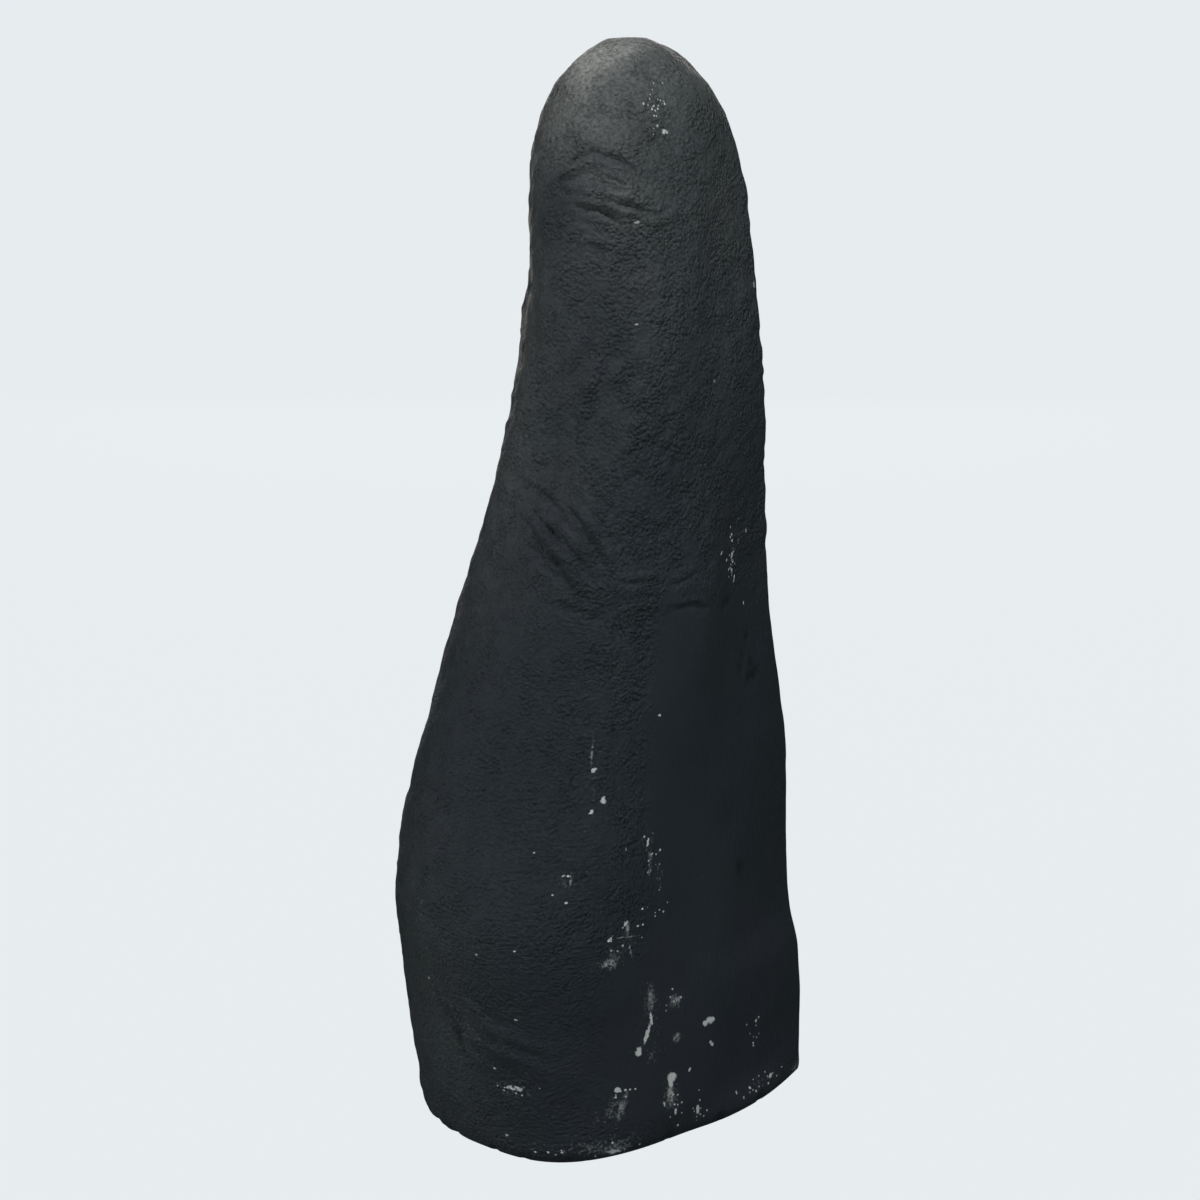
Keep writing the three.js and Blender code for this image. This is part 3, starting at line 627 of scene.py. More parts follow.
def painted_coat():
    """Charcoal masonry paint brushed over cement: matt, faintly blue-green, with sandy grain, brush strokes,
    the sand's tops paler as worn paint and painted highlight, painted shade in the pits, pin-head chips down
    to the pale cement, and dust that settled on the crown, with painted light on what faces up."""
    made, add = material("matt_masonry_paint_on_cement")
    place = add("TexCoord", out="Object")
    flat = add("UVMap", uv_map="unrolled")
    zone = {name: add("Attribute", out="Fac", attribute_name=name)
            for name in ("grain", "slant", "level", "bristle", "crinkle",
                         "dust", "dust_film_and_painted_light", "flecks", "painted_pit_shade", "teal")}

    def waved(size, detail, most):
        """The unrolled place, shifted each way by up to half of the most, by noise of a size."""
        shift = add("TexNoise", {"Vector": flat, "Scale": scale(size), "Detail": detail}, out="Color",
                    noise_dimensions="2D")
        shift = add("VectorMath", (shift, (0.5, 0.5, 0.5)), operation="SUBTRACT")
        return add("VectorMath", (shift, (most * MM, most * MM, 0), flat), operation="MULTIPLY_ADD")

    # Sand of about 1 mm, drawn twice as coarse so that it shows, and patches of 11 mm where it lies thicker
    sand = add("TexNoise", {"Vector": place, "Scale": scale(2.1), "Detail": 3, "Roughness": 0.55})
    grit = add("TexVoronoi", {"Vector": place, "Scale": scale(1.8)}, out="Distance")
    uneven = add("TexNoise", {"Vector": place, "Scale": scale(11), "Detail": 2})
    uneven = add("MapRange", (uneven, 0.38, 0.62, 0.4, 1.6))
    sandy = add("Math", (sand, 1.15), operation="MULTIPLY")
    sandy = add("Math", (grit, -0.9, sandy), operation="MULTIPLY_ADD")
    sandy = add("Math", (sandy, zone["grain"]), operation="MULTIPLY")
    height = add("Math", (sandy, uneven), operation="MULTIPLY")
    # Strokes of a wide brush, which bend where the arm did
    bent = waved(38, 1, 14)
    for name, turn, along, across, detail, depth in STROKES:
        lines = add("Mapping", {"Vector": bent, "Rotation": (0, 0, math.radians(turn)),
                                "Scale": (along * MM, across * MM, 1)}, vector_type="TEXTURE")
        stroke = add("TexNoise", {"Vector": lines, "Scale": 1, "Detail": detail, "Roughness": 0.55},
                     noise_dimensions="2D")
        stroke = add("Math", (stroke, depth), operation="MULTIPLY")
        height = add("Math", (stroke, zone[name], height), operation="MULTIPLY_ADD")

    ragged = waved(1.7, 2, 1.9)

    def marks(places):
        """The distance to the nearest of the marks, in half widths."""
        nearest = 9
        for angle, z, across, along, turn in places:
            centre = (float(unrolled(np.radians(angle), np.array(z, float))) * MM, z * MM, 0)
            local = add("Mapping", {"Vector": ragged, "Location": centre,
                                    "Rotation": (0, 0, -math.radians(turn)),
                                    "Scale": (across * MM, along * MM, 1)}, vector_type="TEXTURE")
            local = add("VectorMath", (local,), out="Value", operation="LENGTH")
            nearest = add("Math", (local, nearest), operation="MINIMUM")
        return nearest

    # The share of each layer over those below it: the cast, sand worn bare with a painted highlight on its
    # tops, painted shade in the pits, the film of dust and painted light, dust, scuffs
    cloud = add("TexNoise", {"Vector": place, "Scale": scale(60), "Detail": 3})
    cast = add("Math", (zone["teal"], 0.2, cloud), operation="MULTIPLY_ADD")
    cast = add("MapRange", (cast, 0.5, 0.7))
    # The sand's raised tops turn paler: paint worn thin there, and a painted highlight
    worn_tops_and_highlight = add("MapRange", (sand, 0.5, 0.8, 0, 0.18))
    worn_tops_and_highlight = add("Math", (worn_tops_and_highlight, zone["grain"]), operation="MULTIPLY")
    # Painted shade: near black in the pits, broken up by the sand
    pit_shade_share = add("MapRange", (sand, 0.34, 0.54))
    pit_shade_share = add("Math", (pit_shade_share, zone["painted_pit_shade"]), operation="MULTIPLY")
    # Pale film of dust, with painted light on what faces up and on the lit shoulder
    patchy = add("TexNoise", {"Vector": place, "Scale": scale(1.7), "Detail": 3, "Roughness": 0.6})
    dust_film_and_painted_light = add("MapRange", (patchy, 0.33, 0.67, 0.5, 1.5))
    dust_film_and_painted_light = add("Math", (dust_film_and_painted_light, zone["dust_film_and_painted_light"]), operation="MULTIPLY")
    drift = add("TexNoise", {"Vector": place, "Scale": scale(1.6), "Detail": 3, "Roughness": 0.6})
    dusty = add("Math", (zone["dust"], 0.6, drift), operation="MULTIPLY_ADD")
    dusty = add("MapRange", (dusty, 0.7, 0.95, 0, 0.5))
    rubbed = add("MapRange", (drift, 0.38, 0.6))
    scuff = add("MapRange", (marks(SCUFFS), 0.4, 1.3, 0.5, 0))
    scuff = add("Math", (scuff, rubbed), operation="MULTIPLY")
    # Pin-head chips, one in each cell of 2.5 mm that the flecks' share picks, and the listed chips
    heads = add("TexVoronoi", {"Vector": flat, "Scale": scale(2.5), "Randomness": 0.85}, out="Distance",
                voronoi_dimensions="2D")
    pick = add("SeparateColor", (heads.node.outputs["Color"],), out="Red")
    smaller = add("Math", (pick.node.outputs["Green"], -0.13, heads), operation="MULTIPLY_ADD")
    pins = add("MapRange", (smaller, 0.09, 0.14, 1, 0))
    chosen = add("Math", (pick, zone["flecks"]), operation="LESS_THAN")
    pins = add("Math", (pins, chosen), operation="MULTIPLY")
    chip = add("MapRange", (marks(CHIPS), 0.7, 1.05, 1, 0))
    bare = add("Math", (chip, pins), operation="MAXIMUM")
    cement = add("Mix", {0: drift, 6: srgb("c3c4be"), 7: srgb("e2e3de")}, data_type="RGBA")
    colour = srgb("272c31")
    for share, over in ((cast, srgb("212b2e")), (worn_tops_and_highlight, srgb("5c6466")), (pit_shade_share, srgb("0d0f10")),
                        (dust_film_and_painted_light, srgb("b2b0a8")), (dusty, srgb("a6aaa6")), (scuff, cement), (bare, cement)):
        colour = add("Mix", {0: share, 6: colour, 7: over}, data_type="RGBA")
    rough = add("MapRange", (cloud, 0, 1, 0.6, 0.74))
    relief = add("Bump", {"Strength": 1, "Distance": 1.15 * MM, "Height": height})
    shader = add("BsdfPrincipled", {"Base Color": colour, "Roughness": rough, "Specular IOR Level": 0.3,
                                    "Normal": relief})
    add("OutputMaterial", {"Surface": shader})
    return made


def polished_rim():
    """The sawn face, ground and polished: cement at the edge, dark basalt with filled gas bubbles, a thin
    green skin of celadonite, then grey and white agate in bands up to the crystals."""
    made, add = material("polished_basalt_and_agate")
    place = add("TexCoord", out="Object")
    coat_side = add("Attribute", out="Fac", attribute_name="from_coat")
    hollow_side = add("Attribute", out="Fac", attribute_name="from_hollow")
    wave = add("TexNoise", {"Vector": place, "Scale": scale(16), "Detail": 3})
    wave = add("Math", (wave, -0.5), operation="ADD")
    fine = add("TexNoise", {"Vector": place, "Scale": scale(1.1), "Detail": 3, "Roughness": 0.7})
    in_agate = add("Math", (wave, 5, hollow_side), operation="MULTIPLY_ADD")
    bands = add("Math", (in_agate, 12), operation="DIVIDE")
    agate = add("ValToRGB", (bands,), stops=[
        (0, "c6c1ca"), (1, "272a27"), (0.12, "bab6c1"), (0.2, "9aa0a8"), (0.27, "c9cbcf"),
        (0.34, "7d868f"), (0.42, "b9bcc0"), (0.5, "8b9298"), (0.58, "d4d3d0"), (0.63, "6f7a72"),
        (0.7, "4b5a4c"), (0.78, "34382f")])
    cloudy = add("Math", (fine, 0.18), operation="MULTIPLY")
    agate = add("Mix", {0: cloudy, 6: agate, 7: srgb("f2f0f2")}, data_type="RGBA")
    bubbles = add("TexVoronoi", {"Vector": place, "Scale": scale(4.2), "Randomness": 1}, out="Distance")
    bubbles = add("MapRange", (bubbles, 0.2, 0.26, 0.6, 0))
    rock = add("ValToRGB", (fine,), stops=[(0.3, "1f221f"), (0.75, "4a4a42")])
    rock = add("Mix", {0: bubbles, 6: rock, 7: srgb("8d9a88")}, data_type="RGBA")
    cement = add("ValToRGB", (fine,), stops=[(0.3, "6d6d69"), (0.8, "a3a39d")])
    to_rock = add("MapRange", (in_agate, 8.6, 9.8))
    to_cement = add("Math", (wave, 3, coat_side), operation="MULTIPLY_ADD")
    to_cement = add("MapRange", (to_cement, 3.4, 4, 1, 0))
    rubbed = add("Math", (fine, -0.5), operation="ADD")
    to_paint = add("Math", (rubbed, 1.6, coat_side), operation="MULTIPLY_ADD")
    to_paint = add("MapRange", (to_paint, 0.7, 1, 1, 0))
    colour = agate
    for share, over in ((to_rock, rock), (to_cement, cement), (to_paint, srgb("2b3134"))):
        colour = add("Mix", {0: share, 6: colour, 7: over}, data_type="RGBA")
    dull = add("Math", (to_cement, to_paint), operation="MAXIMUM")
    rough = add("MapRange", (dull, 0, 1, 0.16, 0.75))
    height = add("Math", (fine, dull), operation="MULTIPLY")
    relief = add("Bump", {"Strength": 1, "Distance": 0.15 * MM, "Height": height})
    shader = add("BsdfPrincipled", {"Base Color": colour, "Roughness": rough, "IOR": 1.54, "Normal": relief})
    add("OutputMaterial", {"Surface": shader})
    return made


def bare_cement():
    """The flat foot, cast on a board and never painted: pale grey cement with sand grains and air holes,
    whose dark is painted shade.
    """
    made, add = material("bare_sand_cement")
    place = add("TexCoord", out="Object")
    sand = add("TexNoise", {"Vector": place, "Scale": scale(1.5), "Detail": 4, "Roughness": 0.7})
    stain = add("TexNoise", {"Vector": place, "Scale": scale(30), "Detail": 3})
    holes_and_painted_shade = add("TexVoronoi", {"Vector": place, "Scale": scale(7)}, out="Distance")
    holes_and_painted_shade = add("MapRange", (holes_and_painted_shade, 0.1, 0.2))
    grey = add("ValToRGB", (sand,), stops=[(0.3, "77776f"), (0.75, "a6a69e")])
    grey = add("Mix", {0: stain, 6: grey, 7: srgb("5f605c")}, data_type="RGBA")
    # Painted shade in the air holes
    grey = add("Mix", {0: holes_and_painted_shade, 6: srgb("33332f"), 7: grey}, data_type="RGBA")
    height = add("Math", (sand, holes_and_painted_shade), operation="ADD")
    relief = add("Bump", {"Strength": 1, "Distance": 0.4 * MM, "Height": height})
    shader = add("BsdfPrincipled", {"Base Color": grey, "Roughness": 0.9, "Normal": relief})
    add("OutputMaterial", {"Surface": shader})
    return made


def rock_wall():
    """The rock behind the crystals: rough dark basalt."""
    made, add = material("rough_basalt")
    place = add("TexCoord", out="Object")
    grain = add("TexNoise", {"Vector": place, "Scale": scale(3), "Detail": 4})
    tone = add("ValToRGB", (grain,), stops=[(0.3, "2b2d29"), (0.75, "55554d")])
    relief = add("Bump", {"Strength": 1, "Distance": 0.8 * MM, "Height": grain})
    shader = add("BsdfPrincipled", {"Base Color": tone, "Roughness": 0.9, "Normal": relief})
    add("OutputMaterial", {"Surface": shader})
    return made


def amethyst():
    """Amethyst: clear violet quartz, deepest at the tips and milky at the root, with glassy natural
    faces."""
    made, add = material("amethyst_quartz")
    place = add("TexCoord", out="Object")
    depth = add("Attribute", out="Fac", attribute_name="depth")
    cloud = add("TexNoise", {"Vector": place, "Scale": scale(9), "Detail": 3})
    cloud = add("Math", (cloud, 7, -3.5), operation="MULTIPLY_ADD")
    grown = add("TexVoronoi", {"Vector": place, "Scale": scale(8)}, out="Color")
    own = add("SeparateColor", (grown,), out="Red")
    own = add("Math", (own, 6, -3), operation="MULTIPLY_ADD")
    zone = add("Math", (depth, cloud), operation="ADD")
    zone = add("Math", (zone, own), operation="ADD")
    share = add("Math", (zone, 26), operation="DIVIDE")
    colour = add("ValToRGB", (share,), stops=[
        (0, "d9d2dc"), (1, "a873e2"), (0.2, "c6b2dc"), (0.42, "b08fdc"), (0.68, "a87ce0")])
    clear = add("MapRange", (zone, 3, 14, 0.1, 0.35))
    growth = add("TexNoise", {"Vector": place, "Scale": scale(2.2), "Detail": 2})
    relief = add("Bump", {"Strength": 0.4, "Distance": 0.25 * MM, "Height": growth})
    shader = add("BsdfPrincipled", {"Base Color": colour, "Roughness": 0.06, "IOR": 1.544,
                                    "Transmission Weight": clear, "Normal": relief})
    body = add("VolumeAbsorption", {"Color": srgb("a070d8"), "Density": 6})
    add("OutputMaterial", {"Surface": shader, "Volume": body})
    return made


# ---- The rock shell with its coat ----------------------------------------------------------------

ROW_STEP, COAT_COLUMNS = 2.25, 272
# The mesh is finer where the folds are
FOLDS_UP, FOLDS_ROUND = (252, 262, 496, 506), (math.radians(108), 0.8)
FINER_UP, FINER_ROUND = 0.65, 0.8
WALL_STEP, WALL_COLUMNS = 7, 56
WALL_ROUNDS, WALL_STRAIGHTS = 30, 2
RIM_SPACING = 2.4
SAW_ROUND = 1.3  # the coat's edge beside the saw cut is rubbed round
BACK_MOST = 90.37  # where the back of the solids' box lies
SET_IN = 0.35  # the coat's texture starts this much inside the solids' faces, so that it stays in their box
STROKE_WAY, STROKE_SQUEEZE = (0.77, 0.64), 2.4  # the slanting strokes' way, and their length to their width
LEVEL_FOOT, STROKES_END = (0, 9), (490, 512)
CHIPPED_FOOT, CHIPPED_DEPTH = (1.5, 6), 2.2
# The film, dust and painted light, lies on what faces up on the crown, as light from above would fall, more
# on the lit shoulder and less on the shaded one, and, thinly, down to the waist
LIT_SHOULDER, SHADED_SHOULDER = (math.radians(78), 0.55), (math.radians(190), 0.9)
FILM_AND_LIGHT_FACING, FILM_AND_LIGHT_TOP = (0.05, 0.7), (0.66, 0.92)
FILM_AND_LIGHT_CROWN, FILM_AND_LIGHT_WAIST, FILM_AND_LIGHT_NECK = (430, 500), (180, 460), (330, 470)
TEAL_ROUND, TEAL_UP, TEAL_SLANT, TEAL_MIDDLE, TEAL_END = (92, 122), (60, 150), 0.2, 300, (230, 330)
PIT_SHADE_GAIN = -1.8  # from a pit's lift to how strongly its painted shade shows
COAT, RIM, FOOT, WALL = range(4)  # the shell's materials, by place


def coat_lift(p, angle, z, grain, slant):
    """How far the coat stands out: noise of a hand's unevenness, of a trowel's and of coarse sand, slanting
    strokes, and the lumps, pits, creases and folds, all fading to nothing at the foot, whose edge is broken
    away in places."""
    across = unrolled(angle, z)
    c, s = STROKE_WAY
    along_stroke = np.stack([across * c + z * s, (z * c - across * s) * STROKE_SQUEEZE, 0 * z], -1)
    lift = (0.45 * noise(p, 17, 1) + 0.45 * noise(p, 8, 2) * (0.25 + grain)
            + 0.3 * (0.1 + grain) * noise(p, 4.4, 3)
            + 0.4 * slant * (1 - smoothstep(z, *STROKES_END)) * noise(along_stroke, 8, 4)
            + mounds(angle, z, LUMPS + PITS) + creases(angle, z)) * smoothstep(z, *LEVEL_FOOT)
    broken = smoothstep(noise(p, 5.5, 5) + 0.4 * noise(p, 21, 6), 0.25, 0.9)
    return lift - CHIPPED_DEPTH * broken * (1 - smoothstep(z, *CHIPPED_FOOT))


def pale_film_and_painted_light(angle, z, facing_up):
    """The share of pale film, which is dust and painted light: strongest on top of the crown, which faces the
    light from above, thinner down its shoulders, and a trace down to the waist."""
    facing_up = facing_up + 0.16 * near(angle, LIT_SHOULDER) - 0.12 * near(angle, SHADED_SHOULDER)
    crown = 0.16 * smoothstep(facing_up, *FILM_AND_LIGHT_FACING) + 0.42 * smoothstep(facing_up, *FILM_AND_LIGHT_TOP)
    return np.maximum(crown * smoothstep(z, *FILM_AND_LIGHT_CROWN) + 0.055 * smoothstep(z, *FILM_AND_LIGHT_WAIST)
                      + 0.03 * smoothstep(z, *FILM_AND_LIGHT_NECK) + mounds(angle, z, FILM_AND_PAINTED_LIGHT_PATCHES), 0)


def green_cast(angle, z):
    """How green the paint is: a slanting band of the back, from the foot's top up."""
    degrees = np.degrees(angle) % 360
    start = smoothstep(degrees - TEAL_SLANT * (z - TEAL_MIDDLE), *TEAL_ROUND)
    return start * (1 - smoothstep(degrees, *TEAL_END)) * smoothstep(z, *TEAL_UP)


def painted_shell():
    """One closed skin: the coat, the flat foot, the polished face and the hollow's wall."""
    p, angle, whole = sawn_surface(coat_outline(), outside, ROW_STEP, COAT_COLUMNS,
                                   lambda z: 1 + FINER_UP * between(z, *FOLDS_UP),
                                   lambda angle: 1 + FINER_ROUND * near(angle, FOLDS_ROUND))
    z = p[..., 2].copy()
    zones = coat_zones(angle, z)
    n = outward(p, whole)
    p += n * (coat_lift(p, angle, z, zones["grain"], zones["slant"]) - SET_IN)[..., None]
    p[..., 1] = np.minimum(p[..., 1], BACK_MOST)
    ahead = np.clip((p[..., 1] - front_y(p[..., 2])) * math.cos(FRONT_LEAN), 0, SAW_ROUND)
    p -= n * (SAW_ROUND - np.sqrt(SAW_ROUND**2 - (SAW_ROUND - ahead) ** 2))[..., None]
    p[..., 2] = np.maximum(p[..., 2], 0)
    p[0, :, 2] = 0
    p[-1] = p[-1].mean(0)
    p[whole, -1] = p[whole, 0]
    ends_on_plane(p, whole)
    wall_outline = hollow_outline(0, WALL_ROUNDS, WALL_STRAIGHTS)
    w, _, wall_whole = sawn_surface(wall_outline, hollow(0), WALL_STEP, WALL_COLUMNS)
    loops = edge_loop(p, whole), edge_loop(w, wall_whole)
    rim, rim_faces, from_coat, from_hollow = sawn_face(*loops, RIM_SPACING)

    on_coat, on_wall = z.size, w[..., 0].size
    points = np.concatenate([p.reshape(-1, 3), w.reshape(-1, 3), rim])
    coat_faces = quads(len(p), COAT_COLUMNS)
    wall_faces = quads(len(w), WALL_COLUMNS, on_coat)[:, ::-1]
    foot = list(range(COAT_COLUMNS))[::-1]
    faces = [*coat_faces.tolist(), *wall_faces.tolist(), *(rim_faces + on_coat + on_wall).tolist(), foot]
    kinds = np.repeat([COAT, WALL, RIM, FOOT], [len(coat_faces), len(wall_faces), len(rim_faces), 1])
    materials = painted_coat(), polished_rim(), bare_cement(), rock_wall()
    piece = mesh_object("painted_shell", points, faces, materials, kinds)

    z = p[..., 2]
    zones |= {
        "dust": np.clip(mounds(angle, z, DUST), 0, 1),
        "dust_film_and_painted_light": pale_film_and_painted_light(angle, z, n[..., 2]),
        "flecks": mounds(angle, z, FLECKS),
        "painted_pit_shade": np.clip(PIT_SHADE_GAIN * mounds(angle, z, PITS), 0, 1),
        "teal": green_cast(angle, z),
    }
    for name, values in zones.items():
        store(piece.data, name, np.pad(values.ravel(), (0, len(points) - on_coat)))
    # A joined vertex keeps the numbers of one of the two, so coat and wall have the rim's at their edges
    for name, others, values in (("from_coat", (0, HEIGHT), from_coat),
                                 ("from_hollow", (HEIGHT, 0), from_hollow)):
        store(piece.data, name, np.concatenate([np.repeat(others, [on_coat, on_wall]), values]))
    flat = np.zeros((len(points), 2))
    flat[:on_coat] = np.stack([unrolled(angle, z).ravel(), z.ravel()], 1) * MM
    corners = np.empty(len(piece.data.loops), np.int32)
    piece.data.loops.foreach_get("vertex_index", corners)
    piece.data.uv_layers.new(name="unrolled").data.foreach_set("uv", flat[corners].ravel())
    merged(piece)
    kinds = np.empty(len(piece.data.polygons), np.int32)
    piece.data.polygons.foreach_get("material_index", kinds)
    piece.data.polygons.foreach_set("use_smooth", kinds == COAT)
    return piece


# ---- The crystals --------------------------------------------------------------------------------

# Each kind's places, radius where the hollow is widest and narrowest and how much smaller the last ones
# are, distance as a share of two radii, depth of the root, height in radii (a share of the least and of
# what chance adds), the prism's share of that height, and how far crystals tilt and tips lean
POINTS = dict(first=0, tried=3000, wide=28, narrow=18, smaller=0.3, spacing=0.53, root=3.6,
              height=(0.8, 0.8, 0.5), body=0, tilt=0.2, lean=0.15)
SMALL_POINTS = dict(first=5000, tried=6500, wide=6.2, narrow=4.8, smaller=0.45, spacing=0.62, root=3,
                    height=(1, 1.5, 1.4), body=0.55, tilt=0.5, lean=0.2)
LEAST_RADIUS, MORE_RADIUS = 0.85, 0.3  # by chance
GROUP_ROOM = 1.25  # crystals of one group stand this many radii apart
ROOT_INSET = -0.6  # into the rock wall, so that no gap shows round the crust
POINTS_INSET = 3.35  # the points are cut off at this depth in the crust
CUT_BACK = 0.1  # the crust is cut this much behind the sawn face, which covers its outer edge
CUT_STEP, CUT_ROUNDS, CUT_SLACK = 4, 7, 0.01  # longest edge on the cut face, so that its banding is true
FACE_ROUNDS, FACE_STRAIGHTS = 4, 9
LATHE_ROUNDS, LATHE_STRAIGHTS, LATHE_COLUMNS = 16, 26, 72
SLOPE_STEP = 0.02


def chance(i, channel):
    """A repeatable number from 0 to 1 for a whole number and a channel: the far decimals of a sine."""
    value = np.sin(i * 12.9898 + channel * 78.233) * 43758.5453
    return value - np.floor(value)


def wall_places(i):
    """Places spread evenly over the crust's face, with the way into the hollow: a turn and a share of the
    outline's length, both stepped by SCATTER."""
    outline = hollow_outline(CRUST_THICKNESS, FACE_ROUNDS, FACE_STRAIGHTS)
    rho, z = outline.T
    along = length_along(outline)
    turn, share = (i * SCATTER[0]) % 1, (i * SCATTER[1]) % 1
    part = np.clip(np.searchsorted(along, share * along[-1]) - 1, 0, len(along) - 2)
    t = (share * along[-1] - along[part]) / (along[part + 1] - along[part])
    place = hollow(CRUST_THICKNESS)

    def at(more, moved):
        """The places turned by more and moved along the outline by a share of its part."""
        s = t + moved
        return place(turn * 2 * np.pi + more, np.maximum(rho[part] + (rho[part + 1] - rho[part]) * s, 0),
                     z[part] + (z[part + 1] - z[part]) * s)

    inward = np.cross(at(0, SLOPE_STEP) - at(0, -SLOPE_STEP), at(SLOPE_STEP, 0) - at(-SLOPE_STEP, 0))
    return at(0, 0), inward / np.maximum(np.linalg.norm(inward, axis=1, keepdims=True), TINY)


def crystal_sites(kind):
    """Where the crystals of one kind stand: places in order, each kept if it is far enough from those
    before it."""
    i = np.arange(kind["first"], kind["first"] + kind["tried"])
    here, inward = wall_places(i)
    narrowest, widest = STATIONS[:, 3].min(), STATIONS[:, 3].max()
    width = (section_at(here[:, 2])[2] - narrowest) / (widest - narrowest)
    full = kind["narrow"] + width * (kind["wide"] - kind["narrow"])
    shrunk = 1 - kind["smaller"] * np.sqrt((i - kind["first"]) / kind["tried"])
    radius = full * shrunk * (LEAST_RADIUS + MORE_RADIUS * chance(i, 1))
    kept = []
    for n in np.nonzero(here[:, 1] >= front_y(here[:, 2]) - radius / 3)[0]:
        apart = np.linalg.norm(here[kept] - here[n], axis=1)
        if (apart >= kind["spacing"] * (radius[kept] + radius[n])).all():
            kept.append(n)
    return i[kept], here[kept], inward[kept], radius[kept]


def crystal_points(kind):
    """Six-sided crystals, each a prism with its foot in the crust and a pyramid whose tip is off its axis,
    turned from +Z to its own way. Gives the corners of each, 13 or 19 by 3, its place and its radius."""
    i, here, inward, radius = crystal_sites(kind)
    share, least, more = kind["height"]
    height = radius * (share * least + share * more * chance(i, 2))
    spin = chance(i, 8) * np.pi
    turn = np.arange(6) * np.pi / 3 + spin[:, None]
    ring = np.stack([np.sin(turn), -np.cos(turn), 0 * turn], -1) * radius[:, None, None]
    up = np.array([0, 0, 1])
    lean = (np.stack([chance(i, 3), chance(i, 4)], 1) - 0.5) * 2 * kind["lean"] * radius[:, None]
    tip = np.stack([lean[:, 0] * np.cos(spin) - lean[:, 1] * np.sin(spin),
                    lean[:, 0] * np.sin(spin) + lean[:, 1] * np.cos(spin), height], 1)[:, None]
    shoulder = [ring + (kind["body"] * height)[:, None, None] * up] if kind["body"] else []
    corners = np.concatenate([ring - kind["root"] * up, *shoulder, tip], 1)
    wander = np.stack([chance(i, c) for c in (5, 6, 7)], 1) - 0.5
    way = inward + wander * kind["tilt"]
    way /= np.linalg.norm(way, axis=1, keepdims=True)
    axis = np.cross(up, way)
    c = way[:, 2, None, None]
    corners = (corners * c + np.cross(axis[:, None], corners)
               + axis[:, None] * (corners @ axis[..., None]) / np.maximum(1 + c, TINY))
    return corners + here[:, None], here, radius


def crystal_faces(rings):
    """The faces of one crystal with that many rings of six corners and a tip: foot, sides and pyramid."""
    ring = np.arange(6)
    after = (ring + 1) % 6
    sides = [np.stack([ring, after, after + 6, ring + 6], 1) + 6 * r for r in range(rings - 1)]
    tip = 6 * rings
    pyramid = [[a + tip - 6, b + tip - 6, tip] for a, b in zip(ring, after)]
    return [ring[::-1].tolist(), *(face for side in sides for face in side.tolist()), *pyramid]


def apart_groups(here, radius):
    """Sorts the crystals into groups in which none meets another."""
    groups = []
    for n in range(len(here)):
        for group in groups:
            away = np.linalg.norm(here[group] - here[n], axis=1)
            if (away > GROUP_ROOM * (radius[group] + radius[n])).all():
                group.append(n)
                break
        else:
            groups.append([n])
    return groups


def lathe(inset):
    """The hollow's wall as a closed form, as points and faces: rows round it, and a fan at each end."""
    outline = hollow_outline(inset, LATHE_ROUNDS, LATHE_STRAIGHTS)
    turn = np.linspace(-QUARTER, 3 * QUARTER, LATHE_COLUMNS + 1)[:-1]
    points = hollow(inset)(turn + 0 * outline[1:-1, :1], outline[1:-1, :1], outline[1:-1, 1:])
    ends = hollow(inset)(np.zeros(2), np.zeros(2), outline[[0, -1], 1])
    rows = len(points)
    i = np.arange(rows - 1)[:, None] * LATHE_COLUMNS
    j, k = np.arange(LATHE_COLUMNS), (np.arange(LATHE_COLUMNS) + 1) % LATHE_COLUMNS
    faces = np.stack([i + j, i + k, i + LATHE_COLUMNS + k, i + LATHE_COLUMNS + j], -1).reshape(-1, 4).tolist()
    last, foot = (rows - 1) * LATHE_COLUMNS, rows * LATHE_COLUMNS
    faces += [[b, a, foot] for a, b in zip(j, k)]
    faces += [[last + a, last + b, foot + 1] for a, b in zip(j, k)]
    return np.concatenate([points.reshape(-1, 3), ends]), faces


def crust_depth(p):
    """How deep inside the hollow each point lies, in millimetres from the wall: the least of its distances
    sideways, from the floor and from the roof."""
    x, y, side, back, *_ = section_at(p[:, 2])
    angle = np.arctan2(p[:, 1] - y, p[:, 0] - x)
    kept = 1 - WALL_SHARE
    full = reach(angle, side * kept, back * kept, y - front_y(p[:, 2]) + HOLLOW_REACH)
    r = np.hypot(p[:, 0] - x, p[:, 1] - y)
    floor, roof = WALL_FLOOR + FLOOR_ROUND, HEIGHT - WALL_ROOF - ROOF_ROUND
    below = np.clip((floor - p[:, 2]) / FLOOR_ROUND, 0, 1)
    above = np.clip((p[:, 2] - roof) / ROOF_ROUND, 0, 1)
    bowl = np.sqrt(np.clip(1 - (r / full) ** 2, 0, 1))
    return np.minimum.reduce([full * np.sqrt(1 - np.maximum(below, above) ** 2) - r,
                              p[:, 2] - (floor - FLOOR_ROUND * bowl), roof + ROOF_ROUND * bowl - p[:, 2]])


def crust_layer():
    """The thin crust on the wall: the wall's own form and, turned inside out within it, the form of its
    face."""
    points, faces = lathe(ROOT_INSET)
    inner_points, inner_faces = lathe(CRUST_THICKNESS)
    return mesh_object("layer", np.concatenate([points, inner_points]),
                       faces + [[v + len(points) for v in face[::-1]] for face in inner_faces])


def front_block():
    """A block that fills all the space in front of the saw cut, whose rear face leans with it."""
    size = 3 * HEIGHT
    corners = np.array(list(product((-size, size), (-size, 0), (-size, size))), float)
    corners[:, 1] += front_y(corners[:, 2]) + CUT_BACK
    sides = [[0, 1, 3, 2], [4, 6, 7, 5], [0, 4, 5, 1], [2, 3, 7, 6], [0, 2, 6, 4], [1, 5, 7, 3]]
    return mesh_object("in_front", corners, sides)


